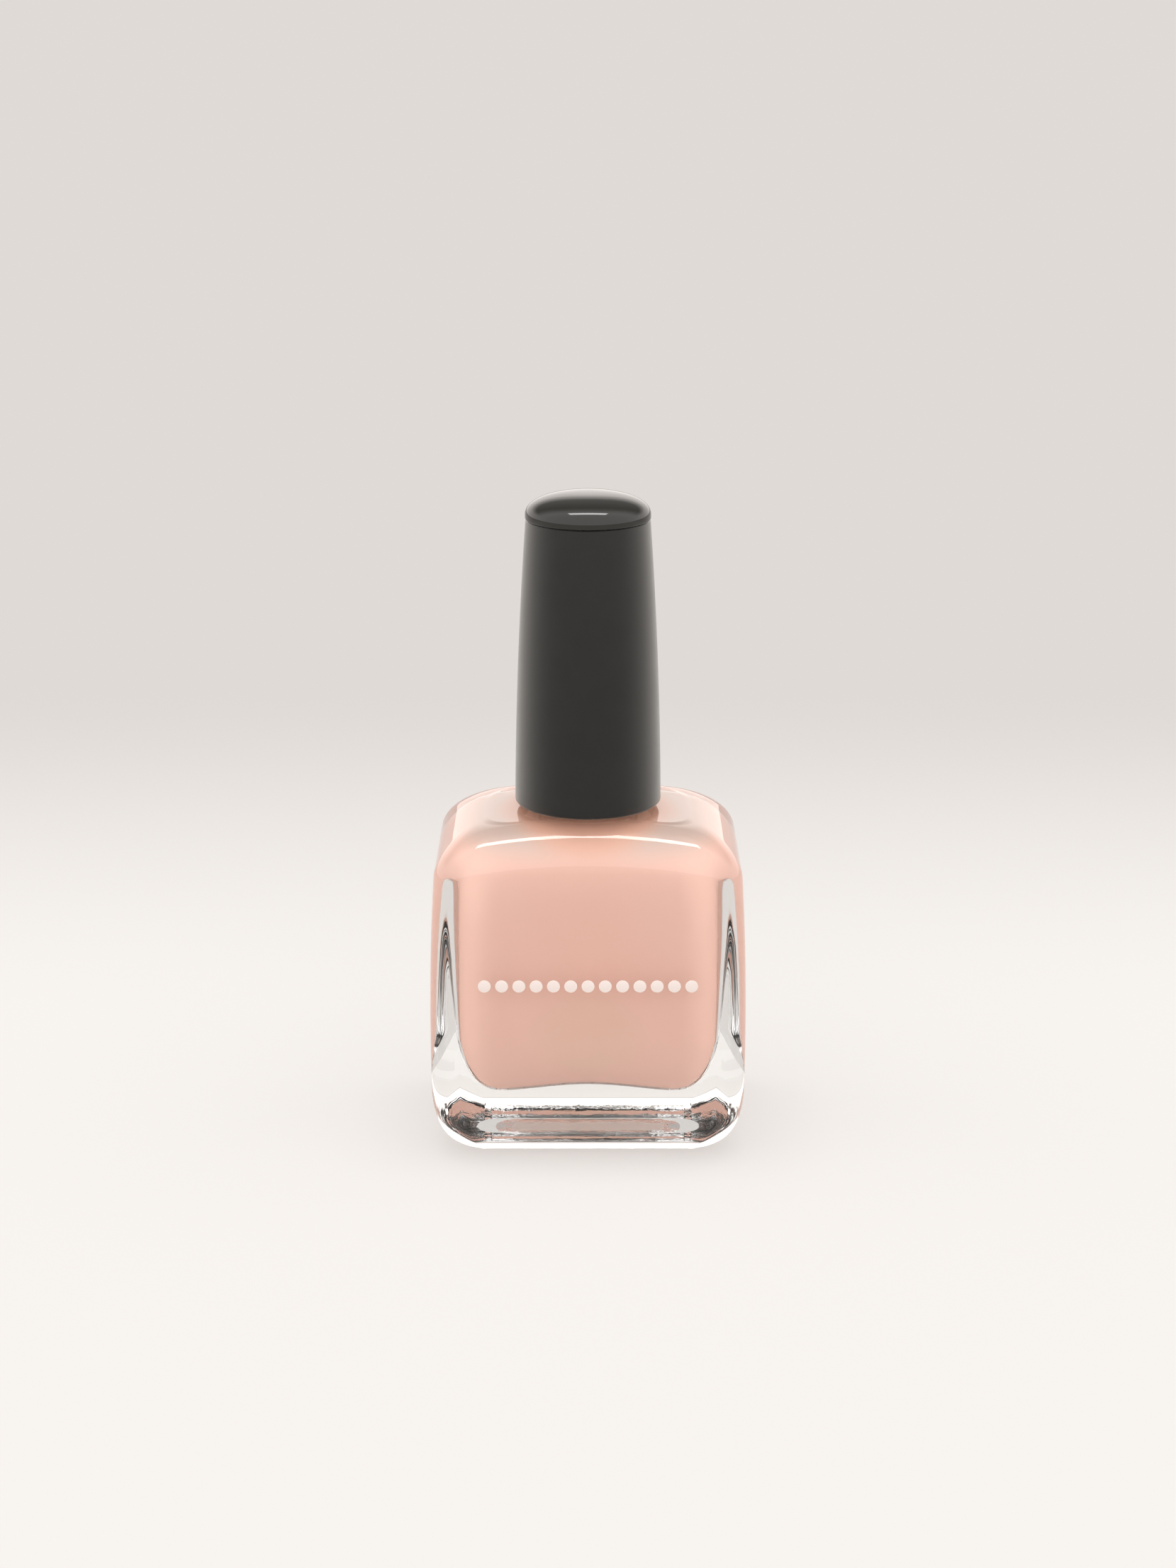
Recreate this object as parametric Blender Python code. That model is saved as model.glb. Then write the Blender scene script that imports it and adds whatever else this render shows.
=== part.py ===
"""Nail polish bottle: a thick-walled rectangular glass bottle with a screw cap that carries the brush.

Units are metres, +Z is up. The origin is the middle of the base, where the bottle stands, and the
broad face of the bottle looks along -Y. The screw axis of the neck, the cap and the brush is +Z.
"""

import math

import bmesh
import bpy
from mathutils import Matrix, Vector

MM = 0.001

# Glass body, outside
BODY_WIDTH = 35.6 * MM
BODY_DEPTH = 25.2 * MM
BODY_CORNER = 3.4 * MM
SHOULDER_HEIGHT = 39.0 * MM
SHOULDER_DROP = 6.3
SHOULDER_EDGE = Vector((5.4, 4.15)) * MM
BASE_SIDE_EDGE = Vector((4.4, 7.6)) * MM
BASE_FRONT_EDGE = Vector((4.2, 4.6)) * MM
WALL_BOW = 0.64 * MM
WIDEST_HEIGHT = 13.8 * MM
BASE_RECESS_INSET = 2.2 * MM
BASE_RECESS_DEPTH = 0.5 * MM
BASE_RECESS_MIDDLE = 4.0 * MM
BASE_EDGE_RINGS = 6
WALL_RINGS = 5
SHOULDER_EDGE_RINGS = 5
SHOULDER_SHARES = (0.35, 0.7, 1.0)

# Glass body, inside
CAVITY_FLOOR = 6.9 * MM
CAVITY_PUSH_UP = 0.8 * MM
CAVITY_PUSH_UP_HALF = 11.0 * MM
CAVITY_HALF = Vector((14.95, 9.85)) * MM
CAVITY_CORNER = 5.0 * MM
CAVITY_LOW_EDGE = Vector((5.0, 7.0)) * MM
CAVITY_TOP_EDGE = Vector((4.2, 3.4)) * MM
CAVITY_ROOF_THICKNESS = 2.0 * MM
CAVITY_EDGE_RINGS = 4
CAVITY_WALL_RINGS = 3
ROOF_SHARES = (0.0, 0.35, 0.7)
FLOOR_SHARES = (0.6, 0.3)

# Neck and its thread
NECK_RADIUS = 5.4 * MM
NECK_BORE = 3.4 * MM
NECK_RIM = 50.0 * MM
NECK_FILLET = 0.8 * MM
RIM_ROUND = 0.35 * MM
THREAD_PITCH = 3.0 * MM
THREAD_TURNS = 1.5
THREAD_HEIGHT = 0.6 * MM
THREAD_WIDTH = 1.8 * MM
THREAD_START = 42.6 * MM
THREAD_FADE = 0.12
THREAD_RINGS = 14
BEAD_RADIUS = 5.95 * MM
BEAD_HEIGHT = 40.5 * MM
BEAD_WIDTH = 1.2 * MM
BEAD_FLAT = 0.5

# Liquid and agitator balls
LIQUID_GAP = 0.3 * MM
LIQUID_LEVEL = 34.6 * MM
LIQUID_SURFACE_INSET = 2.0 * MM
CUTTER_OVERSHOOT = 2.0 * MM
WAND_POCKET = 2.2 * MM
WAND_POCKET_FLOOR = 9.3 * MM
BALL_RADIUS = 1.6 * MM
BALL_PLACES = (Vector((-7.0, 3.0, 0)) * MM, Vector((6.0, -3.5, 0)) * MM)
BALL_FLOOR_GAP = 0.15 * MM
BALL_TRAVEL = 10.0 * MM
BALL_CLEARANCE = 0.3 * MM

# Outer cap
CAP_BOTTOM = 39.25 * MM
SLEEVE_TOP = 71.5 * MM
SLEEVE_RADIUS_BOTTOM = 8.25 * MM
SLEEVE_RADIUS_TOP = 6.9 * MM
SLEEVE_BOW = 0.25 * MM
SLEEVE_WALL = 0.6 * MM
SLEEVE_LEDGE_WIDTH = 1.3 * MM
SLEEVE_EDGE = 0.35 * MM
SLEEVE_LEDGE_GAP = 0.3 * MM
SLEEVE_RINGS = 7
DOME_RADIUS = 6.97 * MM
DOME_WIDEST_HEIGHT = 71.95 * MM
DOME_TOP = 74.5 * MM
DOME_POWER = 2.3
DOME_RINGS = 7
DOME_GAP = 0.2 * MM
DOME_LIP_GAP = 0.06 * MM
DOME_LIP_ROUND = 0.15 * MM
DOME_PLUG_DEPTH = 4.0 * MM
DOME_WALL = 1.1 * MM

# Screw closure inside the outer cap
CLOSURE_BOTTOM = 40.2 * MM
CLOSURE_ROOF = 52.2 * MM
CLOSURE_TOP = 53.4 * MM
CLOSURE_BORE = 6.45 * MM
CLOSURE_THREAD_HEIGHT = 0.35 * MM
CLOSURE_GAP = 0.12 * MM
CLOSURE_RIB_COUNT = 12
CLOSURE_RIB_HEIGHT = 0.15 * MM
BOSS_RADIUS = 2.9 * MM
BOSS_TOP = 58.5 * MM
BOSS_BORE = 1.5 * MM
BOSS_DRAFT = 0.3 * MM

# Seal and brush
SEAL_BOTTOM = 50.3 * MM
SEAL_THICKNESS = 0.8 * MM
SEAL_RADIUS = 5.2 * MM
SEAL_HOLE = 1.7 * MM
STEM_RADIUS = 1.35 * MM
STEM_TOP = 58.2 * MM
STEM_COLLAR_RADIUS = 2.8 * MM
STEM_COLLAR = (51.3 * MM, 51.9 * MM)
STEM_BOTTOM = 17.5 * MM
STEM_SOCKET_RADIUS = 1.05 * MM
STEM_SOCKET_DEPTH = 3.4 * MM
STEM_TAPER = 4.0 * MM
STEM_WAIST = 0.9
STEM_PIN_TOP = 0.8
STEM_PIN_CHAMFER = 0.4 * MM
STEM_END_CHAMFER = Vector((0.15, 0.3)) * MM
TUFT_ROOT_RADIUS = 0.95 * MM
TUFT_WIDEST_RADIUS = 1.75 * MM
TUFT_WIDEST_HEIGHT = 11.6 * MM
TUFT_TIP = 9.8 * MM
TUFT_ROOT_GAP = 0.3 * MM
TUFT_ROOT_CHAMFER = 0.3 * MM
TUFT_ROOT_END = 0.4 * MM
STAPLE_SIZE = Vector((0.3, 1.7, 0.8)) * MM
STAPLE_HEIGHT = 19.3 * MM
STAPLE_GAP = 0.1 * MM
STAPLE_SLOT = STAPLE_SIZE + Vector((2, 20, 2)) * STAPLE_GAP

# Base label
LABEL_HALF = Vector((9.2, 4.0)) * MM
LABEL_CORNER = 1.5 * MM
LABEL_THICKNESS = 0.12 * MM
LABEL_GAP = 0.1 * MM

BODY_POINTS = (3, 5, 4)
LABEL_POINTS = (1, 3, 2)
ROUND_SEGMENTS = 4 * sum(BODY_POINTS)
SEAL_SEGMENTS = 32
STEM_SEGMENTS = 20
BALL_SEGMENTS = (16, 10)
SMALLEST_CORNER = 1.5 * MM
SHARP_ANGLE = math.radians(35)


# ---------------------------------------------------------------- materials


def material(name, color, roughness, metallic=0.0, transmission=0.0, ior=1.5):
    made = bpy.data.materials.new(name)
    made.use_nodes = True
    shader = made.node_tree.nodes["Principled BSDF"]
    shader.inputs["Base Color"].default_value = (*color, 1.0)
    shader.inputs["Roughness"].default_value = roughness
    shader.inputs["Metallic"].default_value = metallic
    shader.inputs["Transmission Weight"].default_value = transmission
    shader.inputs["IOR"].default_value = ior
    made.diffuse_color = (*color, 1.0)
    return made


# ---------------------------------------------------------------- outlines and lofting


def circle(radius, height, segments):
    """Points of one level circle, half a step off the X axis."""
    ring = []
    for step in range(segments):
        angle = math.tau * (step + 0.5) / segments
        ring.append(Vector((radius * math.cos(angle), radius * math.sin(angle), height)))
    return ring


def rounded_rectangle(half_x, half_y, corner, counts):
    """Points of a rounded rectangle, anticlockwise from beside the +X axis.

    The counts are the points on half a side along Y, round one corner, and on half a side along X.
    """
    on_y, on_corner, on_x = counts
    straight_x = half_x - corner
    straight_y = half_y - corner
    quarter = [Vector((half_x, straight_y * (step + 0.5) / (on_y + 0.5))) for step in range(on_y)]
    for step in range(on_corner):
        turn = math.pi / 2 * step / (on_corner - 1)
        quarter.append(Vector((straight_x + corner * math.cos(turn), straight_y + corner * math.sin(turn))))
    quarter += [Vector((straight_x * (step + 0.5) / (on_x + 0.5), half_y)) for step in reversed(range(on_x))]
    upper = quarter + [Vector((-point.x, point.y)) for point in reversed(quarter)]
    return upper + [-point for point in upper]


def loft(name, rings, finish, closed=False):
    """Skin a row of rings. A ring of one point is a pole; a closed row joins its last ring to its first."""
    bm = bmesh.new()
    loops = [[bm.verts.new(point) for point in ring] for ring in rings]
    pairs = list(zip(loops, loops[1:]))
    if closed:
        pairs.append((loops[-1], loops[0]))
    for lower, upper in pairs:
        count = max(len(lower), len(upper))
        for i in range(count):
            j = (i + 1) % count
            if len(lower) == 1:
                bm.faces.new((lower[0], upper[j], upper[i]))
            elif len(upper) == 1:
                bm.faces.new((lower[i], lower[j], upper[0]))
            else:
                bm.faces.new((lower[i], lower[j], upper[j], upper[i]))
    bmesh.ops.recalc_face_normals(bm, faces=bm.faces)
    return new_object(name, bm, finish)


def turned(name, profile, segments, finish, closed=False):
    """Turn a profile of (radius, height) points about Z. A zero radius is a pole."""
    rings = []
    for radius, height in profile:
        rings.append([Vector((0, 0, height))] if radius == 0 else circle(radius, height, segments))
    return loft(name, rings, finish, closed)


def new_object(name, bm, finish):
    mesh = bpy.data.meshes.new(name)
    bm.to_mesh(mesh)
    bm.free()
    mesh.materials.append(finish)
    mesh.shade_smooth()
    mesh.set_sharp_from_angle(angle=SHARP_ANGLE)
    made = bpy.data.objects.new(name, mesh)
    bpy.context.scene.collection.objects.link(made)
    return made


def cut(target, cutter):
    """Take the cutter's shape away from the target."""
    cutter.hide_render = True
    cutter.display_type = "WIRE"
    boolean = target.modifiers.new("Cut by " + cutter.name, "BOOLEAN")
    boolean.operation = "DIFFERENCE"
    boolean.solver = "EXACT"
    boolean.object = cutter


def quarter_turns(steps):
    """Angles from 0 to 90 degrees, both ends included."""
    return [math.pi / 2 * step / steps for step in range(steps + 1)]


# ---------------------------------------------------------------- glass bottle


def shoulder_surface(x):
    """Height of the gently arched shoulder over a point at x from the middle."""
    return SHOULDER_HEIGHT - SHOULDER_DROP * x * x


def wall_inset(height):
    """How far the slightly bowed walls draw in at this height."""
    return WALL_BOW * ((height - WIDEST_HEIGHT) / (SHOULDER_HEIGHT / 2)) ** 2


def body_outline(inset_x, inset_y):
    """The body's outline, drawn in by an inset on the sides and one on the front and back."""
    return rounded_rectangle(BODY_WIDTH / 2 - inset_x, BODY_DEPTH / 2 - inset_y, BODY_CORNER, BODY_POINTS)


def level_ring(outline, height):
    return [Vector((point.x, point.y, height)) for point in outline]


def bowed_ring(outline, height_of):
    """A ring at its own height at each point, drawn in by the bow of the walls there."""
    ring = []
    for point in outline:
        height = height_of(point)
        shrink = 1 - wall_inset(height) / (BODY_WIDTH / 2)
        ring.append(Vector((point.x * shrink, point.y * shrink, height)))
    return ring


def base_inset(edge, height):
    """How far a rounded bottom edge draws in at a height above the ground."""
    if height >= edge.y:
        return 0.0
    return edge.x * (1 - math.sqrt(1 - (1 - height / edge.y) ** 2))


def base_outline(inset, height):
    """The outline at a height on the rounded bottom edges and the bowed walls, drawn in further by inset."""
    inset += wall_inset(height)
    side = base_inset(BASE_SIDE_EDGE, height) + inset
    front = base_inset(BASE_FRONT_EDGE, height) + inset
    return body_outline(side, front)


def base_rings():
    """Underside: a shallow recess for the label, the flat bearing band and the rounded bottom edge."""
    rings = [[Vector((0, 0, BASE_RECESS_DEPTH))]]
    for inset, height in ((BASE_RECESS_MIDDLE, BASE_RECESS_DEPTH), (BASE_RECESS_INSET, BASE_RECESS_DEPTH),
                          (BASE_RECESS_INSET - BASE_RECESS_DEPTH, 0)):
        rings.append(level_ring(base_outline(inset, 0), height))
    for angle in quarter_turns(BASE_EDGE_RINGS):
        height = BASE_SIDE_EDGE.y * (1 - math.cos(angle))
        rings.append(level_ring(base_outline(0.0, height), height))
    return rings


def wall_rings():
    """Side walls, from the rounded bottom edge up to the arched shoulder edge."""
    rings = []
    for step in range(1, WALL_RINGS + 1):
        def height_of(point, share=step / WALL_RINGS):
            top = shoulder_surface(point.x) - SHOULDER_EDGE.y
            return BASE_SIDE_EDGE.y + (top - BASE_SIDE_EDGE.y) * share
        rings.append(bowed_ring(body_outline(0, 0), height_of))
    return rings


def shoulder_rings():
    """The rounded shoulder edge, then the arched top drawn in to the foot of the neck."""
    rings = []
    for angle in quarter_turns(SHOULDER_EDGE_RINGS)[1:]:
        drop = SHOULDER_EDGE.y * (1 - math.sin(angle))
        inset = SHOULDER_EDGE.x * (1 - math.cos(angle))
        outline = body_outline(inset, inset)
        rings.append(bowed_ring(outline, lambda point, drop=drop: shoulder_surface(point.x) - drop))
    foot = circle(NECK_RADIUS + NECK_FILLET, 0, ROUND_SEGMENTS)
    edge = rings[-1]
    for share in SHOULDER_SHARES:
        ring = []
        for outer, inner in zip(edge, foot):
            point = outer.lerp(inner, share)
            ring.append(Vector((point.x, point.y, shoulder_surface(point.x))))
        rings.append(ring)
    return rings


def thread_bump(angle, height, start):
    """Height of a right-hand helical thread, 0 to 1, at an angle and a height on its cylinder."""
    turns_up = (height - start) / THREAD_PITCH - angle / math.tau
    pass_number = round(turns_up)
    distance = (turns_up - pass_number) * THREAD_PITCH
    position = pass_number + angle / math.tau
    ends = min(position, THREAD_TURNS - position) / THREAD_FADE
    if ends <= 0 or abs(distance) >= THREAD_WIDTH / 2:
        return 0.0
    return min(ends, 1.0) * math.cos(math.pi * distance / THREAD_WIDTH) ** 2


def threaded_rings(radius, height_out, start, bottom, top, steps):
    """Rings of a cylinder that carries a thread standing out by height_out, inward if it is negative."""
    rings = []
    for step in range(steps + 1):
        level = bottom + (top - bottom) * step / steps
        ring = []
        for index, point in enumerate(circle(1, 0, ROUND_SEGMENTS)):
            angle = math.tau * (index + 0.5) / ROUND_SEGMENTS
            reach = radius + height_out * thread_bump(angle, level, start)
            ring.append(Vector((point.x * reach, point.y * reach, level)))
        rings.append(ring)
    return rings


def neck_rings():
    """The foot fillet, a bead, the thread, the rounded rim and the bore, down to the cavity roof."""
    rings = [circle(NECK_RADIUS, SHOULDER_HEIGHT + NECK_FILLET, ROUND_SEGMENTS)]
    for lift, radius in ((-1, NECK_RADIUS), (-BEAD_FLAT, BEAD_RADIUS),
                         (BEAD_FLAT, BEAD_RADIUS), (1, NECK_RADIUS)):
        rings.append(circle(radius, BEAD_HEIGHT + lift * BEAD_WIDTH / 2, ROUND_SEGMENTS))
    thread_top = THREAD_START + (THREAD_TURNS + 0.5) * THREAD_PITCH
    rings += threaded_rings(NECK_RADIUS, THREAD_HEIGHT, THREAD_START,
                            THREAD_START - THREAD_WIDTH / 2, thread_top, THREAD_RINGS)
    rings.append(circle(NECK_RADIUS, NECK_RIM - RIM_ROUND, ROUND_SEGMENTS))
    rings.append(circle(NECK_RADIUS - RIM_ROUND, NECK_RIM, ROUND_SEGMENTS))
    rings.append(circle(NECK_BORE + RIM_ROUND, NECK_RIM, ROUND_SEGMENTS))
    rings.append(circle(NECK_BORE, NECK_RIM - RIM_ROUND, ROUND_SEGMENTS))
    rings.append(circle(NECK_BORE, SHOULDER_HEIGHT - CAVITY_ROOF_THICKNESS + NECK_FILLET, ROUND_SEGMENTS))
    return rings


def cavity_outline(inset, height):
    """The cavity's outline. Its walls keep the bow of the outer walls, so the glass is equally thick."""
    corner = max(CAVITY_CORNER - inset, SMALLEST_CORNER)
    inset += wall_inset(height)
    return rounded_rectangle(CAVITY_HALF.x - inset, CAVITY_HALF.y - inset, corner, BODY_POINTS)


def cavity_roof(x):
    return shoulder_surface(x) - CAVITY_ROOF_THICKNESS


def push_up(x):
    """How far the floor rises at x: a low wave along the middle of the bottle."""
    share = min(abs(x) / CAVITY_PUSH_UP_HALF, 1.0)
    return CAVITY_PUSH_UP * (0.5 + 0.5 * math.cos(math.pi * share))


def cavity_roof_rings(gap):
    """Rings of the cavity's roof, from the foot of the bore out and round the edge to the walls."""
    rings = []
    roof_edge = SHOULDER_HEIGHT - CAVITY_ROOF_THICKNESS - CAVITY_TOP_EDGE.y
    edge = cavity_outline(CAVITY_TOP_EDGE.x + gap, roof_edge)
    foot = circle(NECK_BORE + NECK_FILLET, 0, ROUND_SEGMENTS)
    for share in ROOF_SHARES:
        ring = []
        for inner, outer in zip(foot, edge):
            point = inner.to_2d().lerp(outer, share)
            ring.append(Vector((point.x, point.y, cavity_roof(point.x) - gap)))
        rings.append(ring)
    for angle in reversed(quarter_turns(CAVITY_EDGE_RINGS)):
        drop = gap + CAVITY_TOP_EDGE.y * (1 - math.sin(angle))
        outline = cavity_outline(CAVITY_TOP_EDGE.x * (1 - math.cos(angle)) + gap, roof_edge)
        rings.append([Vector((point.x, point.y, cavity_roof(point.x) - drop)) for point in outline])
    return rings


def cavity_lower_rings(gap):
    """Rings of the cavity's walls and floor, down to the middle of the floor."""
    rings = []
    low_edge = CAVITY_FLOOR + CAVITY_LOW_EDGE.y
    roof_edge = SHOULDER_HEIGHT - CAVITY_ROOF_THICKNESS - CAVITY_TOP_EDGE.y
    for step in range(1, CAVITY_WALL_RINGS + 1):
        share = step / CAVITY_WALL_RINGS
        ring = []
        for point in cavity_outline(gap, roof_edge + (low_edge - roof_edge) * share):
            high_edge = cavity_roof(point.x) - CAVITY_TOP_EDGE.y
            ring.append(Vector((point.x, point.y, high_edge + (low_edge - high_edge) * share)))
        rings.append(ring)
    for angle in quarter_turns(CAVITY_EDGE_RINGS)[1:]:
        ring = []
        for point in cavity_outline(CAVITY_LOW_EDGE.x * (1 - math.cos(angle)) + gap, low_edge):
            lift = CAVITY_LOW_EDGE.y * (1 - math.sin(angle)) + push_up(point.x) * math.sin(angle) ** 2
            ring.append(Vector((point.x, point.y, CAVITY_FLOOR + gap + lift)))
        rings.append(ring)
    middle = rings[-1]
    for share in FLOOR_SHARES:
        ring = []
        for point in middle:
            near = point.to_2d() * share
            ring.append(Vector((near.x, near.y, CAVITY_FLOOR + gap + push_up(near.x))))
        rings.append(ring)
    rings.append([Vector((0, 0, CAVITY_FLOOR + gap + CAVITY_PUSH_UP))])
    return rings


def make_bottle():
    glass = material("clear_glass", (0.95, 0.96, 0.94), 0.02, transmission=1.0)
    rings = base_rings() + wall_rings() + shoulder_rings() + neck_rings()
    rings += cavity_roof_rings(0.0) + cavity_lower_rings(0.0)
    return loft("glass_bottle", rings, glass)


# ---------------------------------------------------------------- liquid and agitator balls


def ball_rest(place):
    """Centre of a ball resting on the cavity floor at this place."""
    return Vector((place.x, place.y, CAVITY_FLOOR + push_up(place.x) + BALL_FLOOR_GAP + BALL_RADIUS))


def make_lacquer():
    """The liquid: the cavity's own shape, up to its level, with room for the brush and the balls."""
    finish = material("pink_lacquer", (0.80, 0.50, 0.40), 0.35)
    rings = cavity_roof_rings(LIQUID_GAP) + cavity_lower_rings(LIQUID_GAP)
    below = [ring for ring in rings if max(point.z for point in ring) < LIQUID_LEVEL]
    surface = level_ring(cavity_outline(LIQUID_SURFACE_INSET, LIQUID_LEVEL), LIQUID_LEVEL)
    lacquer = loft("nail_lacquer", [[Vector((0, 0, LIQUID_LEVEL))], surface] + below, finish)
    pocket_top = LIQUID_LEVEL + CUTTER_OVERSHOOT
    profile = [(0, WAND_POCKET_FLOOR), (WAND_POCKET, WAND_POCKET_FLOOR),
               (WAND_POCKET, pocket_top), (0, pocket_top)]
    cut(lacquer, turned("wand_pocket_cutter", profile, STEM_SEGMENTS, finish))
    for number, place in enumerate(BALL_PLACES, 1):
        radius = BALL_RADIUS + BALL_CLEARANCE
        top = ball_rest(place).z + BALL_TRAVEL + radius
        bottom = CAVITY_FLOOR - CUTTER_OVERSHOOT
        profile = [(0, bottom), (radius, bottom), (radius, top), (0, top)]
        channel = turned(f"ball_{number}_cutter", profile, BALL_SEGMENTS[0], finish)
        channel.location = (place.x, place.y, 0)
        cut(lacquer, channel)
    return lacquer


def make_balls():
    finish = material("steel_ball", (0.62, 0.62, 0.63), 0.18, metallic=1.0)
    for number, place in enumerate(BALL_PLACES, 1):
        bm = bmesh.new()
        around, upward = BALL_SEGMENTS
        bmesh.ops.create_uvsphere(bm, u_segments=around, v_segments=upward, radius=BALL_RADIUS)
        ball = new_object(f"mixing_ball_{number}", bm, finish)
        ball.location = ball_rest(place)


def make_label():
    """Thin sticker in the recess under the base."""
    finish = material("label_paper", (0.86, 0.86, 0.83), 0.6)
    top = BASE_RECESS_DEPTH - LABEL_GAP
    outline = rounded_rectangle(LABEL_HALF.x, LABEL_HALF.y, LABEL_CORNER, LABEL_POINTS)
    rings = [[Vector((0, 0, top - LABEL_THICKNESS))]]
    for level in (top - LABEL_THICKNESS, top):
        rings.append(level_ring(outline, level))
    rings.append([Vector((0, 0, top))])
    return loft("base_label", rings, finish)


# ---------------------------------------------------------------- outer cap


def sleeve_radius(height):
    """Outer radius of the sleeve: a straight taper with a slight bulge."""
    share = (height - CAP_BOTTOM) / (SLEEVE_TOP - CAP_BOTTOM)
    straight = SLEEVE_RADIUS_BOTTOM + (SLEEVE_RADIUS_TOP - SLEEVE_RADIUS_BOTTOM) * share
    return straight + 4 * SLEEVE_BOW * share * (1 - share)


def make_sleeve():
    """Satin outer sleeve. A ledge inside it stops the screw closure."""
    finish = material("satin_black", (0.045, 0.044, 0.040), 0.42)
    low = CAP_BOTTOM + SLEEVE_EDGE
    profile = [(sleeve_radius(CAP_BOTTOM) - SLEEVE_EDGE, CAP_BOTTOM)]
    for step in range(SLEEVE_RINGS + 1):
        height = low + (SLEEVE_TOP - low) * step / SLEEVE_RINGS
        profile.append((sleeve_radius(height), height))
    ledge = CLOSURE_TOP + SLEEVE_LEDGE_GAP
    inner = ((SLEEVE_TOP, SLEEVE_LEDGE_WIDTH), (ledge + 2 * SLEEVE_LEDGE_WIDTH, SLEEVE_LEDGE_WIDTH),
             (ledge, 2 * SLEEVE_LEDGE_WIDTH), (ledge, SLEEVE_WALL), ((ledge + CAP_BOTTOM) / 2, SLEEVE_WALL),
             (CAP_BOTTOM, SLEEVE_WALL))
    for height, wall in inner:
        profile.append((sleeve_radius(height) - wall, height))
    return turned("overcap_sleeve", profile, ROUND_SEGMENTS, finish, closed=True)


def make_dome():
    """Glossy domed insert: a full round top, a lip that closes on the sleeve, and a plug in its mouth."""
    finish = material("gloss_black", (0.010, 0.010, 0.009), 0.06)
    rise = DOME_TOP - DOME_WIDEST_HEIGHT
    profile = [(0, DOME_TOP)]
    for angle in quarter_turns(DOME_RINGS)[1:]:
        across = math.sin(angle) ** (2 / DOME_POWER)
        up = max(math.cos(angle), 0.0) ** (2 / DOME_POWER)
        profile.append((DOME_RADIUS * across, DOME_WIDEST_HEIGHT + rise * up))
    lip = SLEEVE_TOP + DOME_LIP_GAP
    mouth = sleeve_radius(SLEEVE_TOP) - SLEEVE_LEDGE_WIDTH
    profile += [(DOME_RADIUS, lip + DOME_LIP_ROUND), (DOME_RADIUS - DOME_LIP_ROUND, lip),
                (mouth - DOME_GAP, lip),
                (mouth - DOME_GAP, SLEEVE_TOP - DOME_PLUG_DEPTH),
                (mouth - DOME_GAP - DOME_WALL, SLEEVE_TOP - DOME_PLUG_DEPTH),
                (mouth - DOME_GAP - DOME_WALL, lip), (0, lip)]
    return turned("overcap_dome", profile, ROUND_SEGMENTS, finish)


# ---------------------------------------------------------------- screw closure


def rib_reach(index):
    """Every fourth segment of the closure's outside stands out as a grip rib."""
    spacing = ROUND_SEGMENTS // CLOSURE_RIB_COUNT
    return 0.0 if index % spacing < 2 else CLOSURE_RIB_HEIGHT


def closure_outside(height):
    ring = []
    for index, point in enumerate(circle(1, 0, ROUND_SEGMENTS)):
        reach = sleeve_radius(height) - SLEEVE_WALL - CLOSURE_GAP - rib_reach(index)
        ring.append(Vector((point.x * reach, point.y * reach, height)))
    return ring


def make_closure():
    """Screw closure: threaded skirt, roof, and a boss that grips the top of the brush stem."""
    finish = material("natural_plastic", (0.80, 0.79, 0.75), 0.45)
    levels = (CLOSURE_BOTTOM, (CLOSURE_BOTTOM + CLOSURE_TOP) / 2, CLOSURE_TOP)
    rings = [closure_outside(level) for level in levels]
    rings += [circle(BOSS_RADIUS + BOSS_DRAFT, CLOSURE_TOP, ROUND_SEGMENTS),
              circle(BOSS_RADIUS, BOSS_TOP, ROUND_SEGMENTS),
              circle(BOSS_BORE, BOSS_TOP, ROUND_SEGMENTS),
              circle(BOSS_BORE, CLOSURE_ROOF, ROUND_SEGMENTS),
              circle(CLOSURE_BORE, CLOSURE_ROOF, ROUND_SEGMENTS)]
    start = THREAD_START - THREAD_PITCH / 2
    thread_top = start + (THREAD_TURNS + 0.5) * THREAD_PITCH
    rings += threaded_rings(CLOSURE_BORE, -CLOSURE_THREAD_HEIGHT, start, thread_top, CLOSURE_BOTTOM,
                            THREAD_RINGS)
    return loft("screw_closure", rings, finish, closed=True)


# ---------------------------------------------------------------- seal and brush


def make_seal():
    """Foam washer pressed on the rim of the neck."""
    finish = material("seal_foam", (0.85, 0.85, 0.82), 0.8)
    top = SEAL_BOTTOM + SEAL_THICKNESS
    profile = [(SEAL_RADIUS, top), (SEAL_RADIUS, SEAL_BOTTOM), (SEAL_HOLE, SEAL_BOTTOM), (SEAL_HOLE, top)]
    return turned("seal_washer", profile, SEAL_SEGMENTS, finish, closed=True)


def make_stem():
    """Brush stem: pin and collar held by the closure, a slim rod, and a socket for the bristles."""
    finish = material("stem_plastic", (0.70, 0.70, 0.68), 0.4)
    collar_bottom, collar_top = STEM_COLLAR
    socket_top = STEM_BOTTOM + STEM_SOCKET_DEPTH
    waist = STEM_RADIUS * STEM_WAIST
    profile = [(0, STEM_TOP), (STEM_RADIUS * STEM_PIN_TOP, STEM_TOP),
               (STEM_RADIUS, STEM_TOP - STEM_PIN_CHAMFER),
               (STEM_RADIUS, collar_top), (STEM_COLLAR_RADIUS, collar_top), (STEM_COLLAR_RADIUS, collar_bottom),
               (STEM_RADIUS, collar_bottom), (waist, collar_bottom - STEM_TAPER),
               (waist, socket_top + STEM_TAPER),
               (STEM_RADIUS, socket_top), (STEM_RADIUS, STEM_BOTTOM + STEM_END_CHAMFER.y),
               (STEM_RADIUS - STEM_END_CHAMFER.x, STEM_BOTTOM), (STEM_SOCKET_RADIUS, STEM_BOTTOM),
               (STEM_SOCKET_RADIUS, socket_top), (0, socket_top)]
    return turned("brush_stem", profile, STEM_SEGMENTS, finish)


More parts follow.
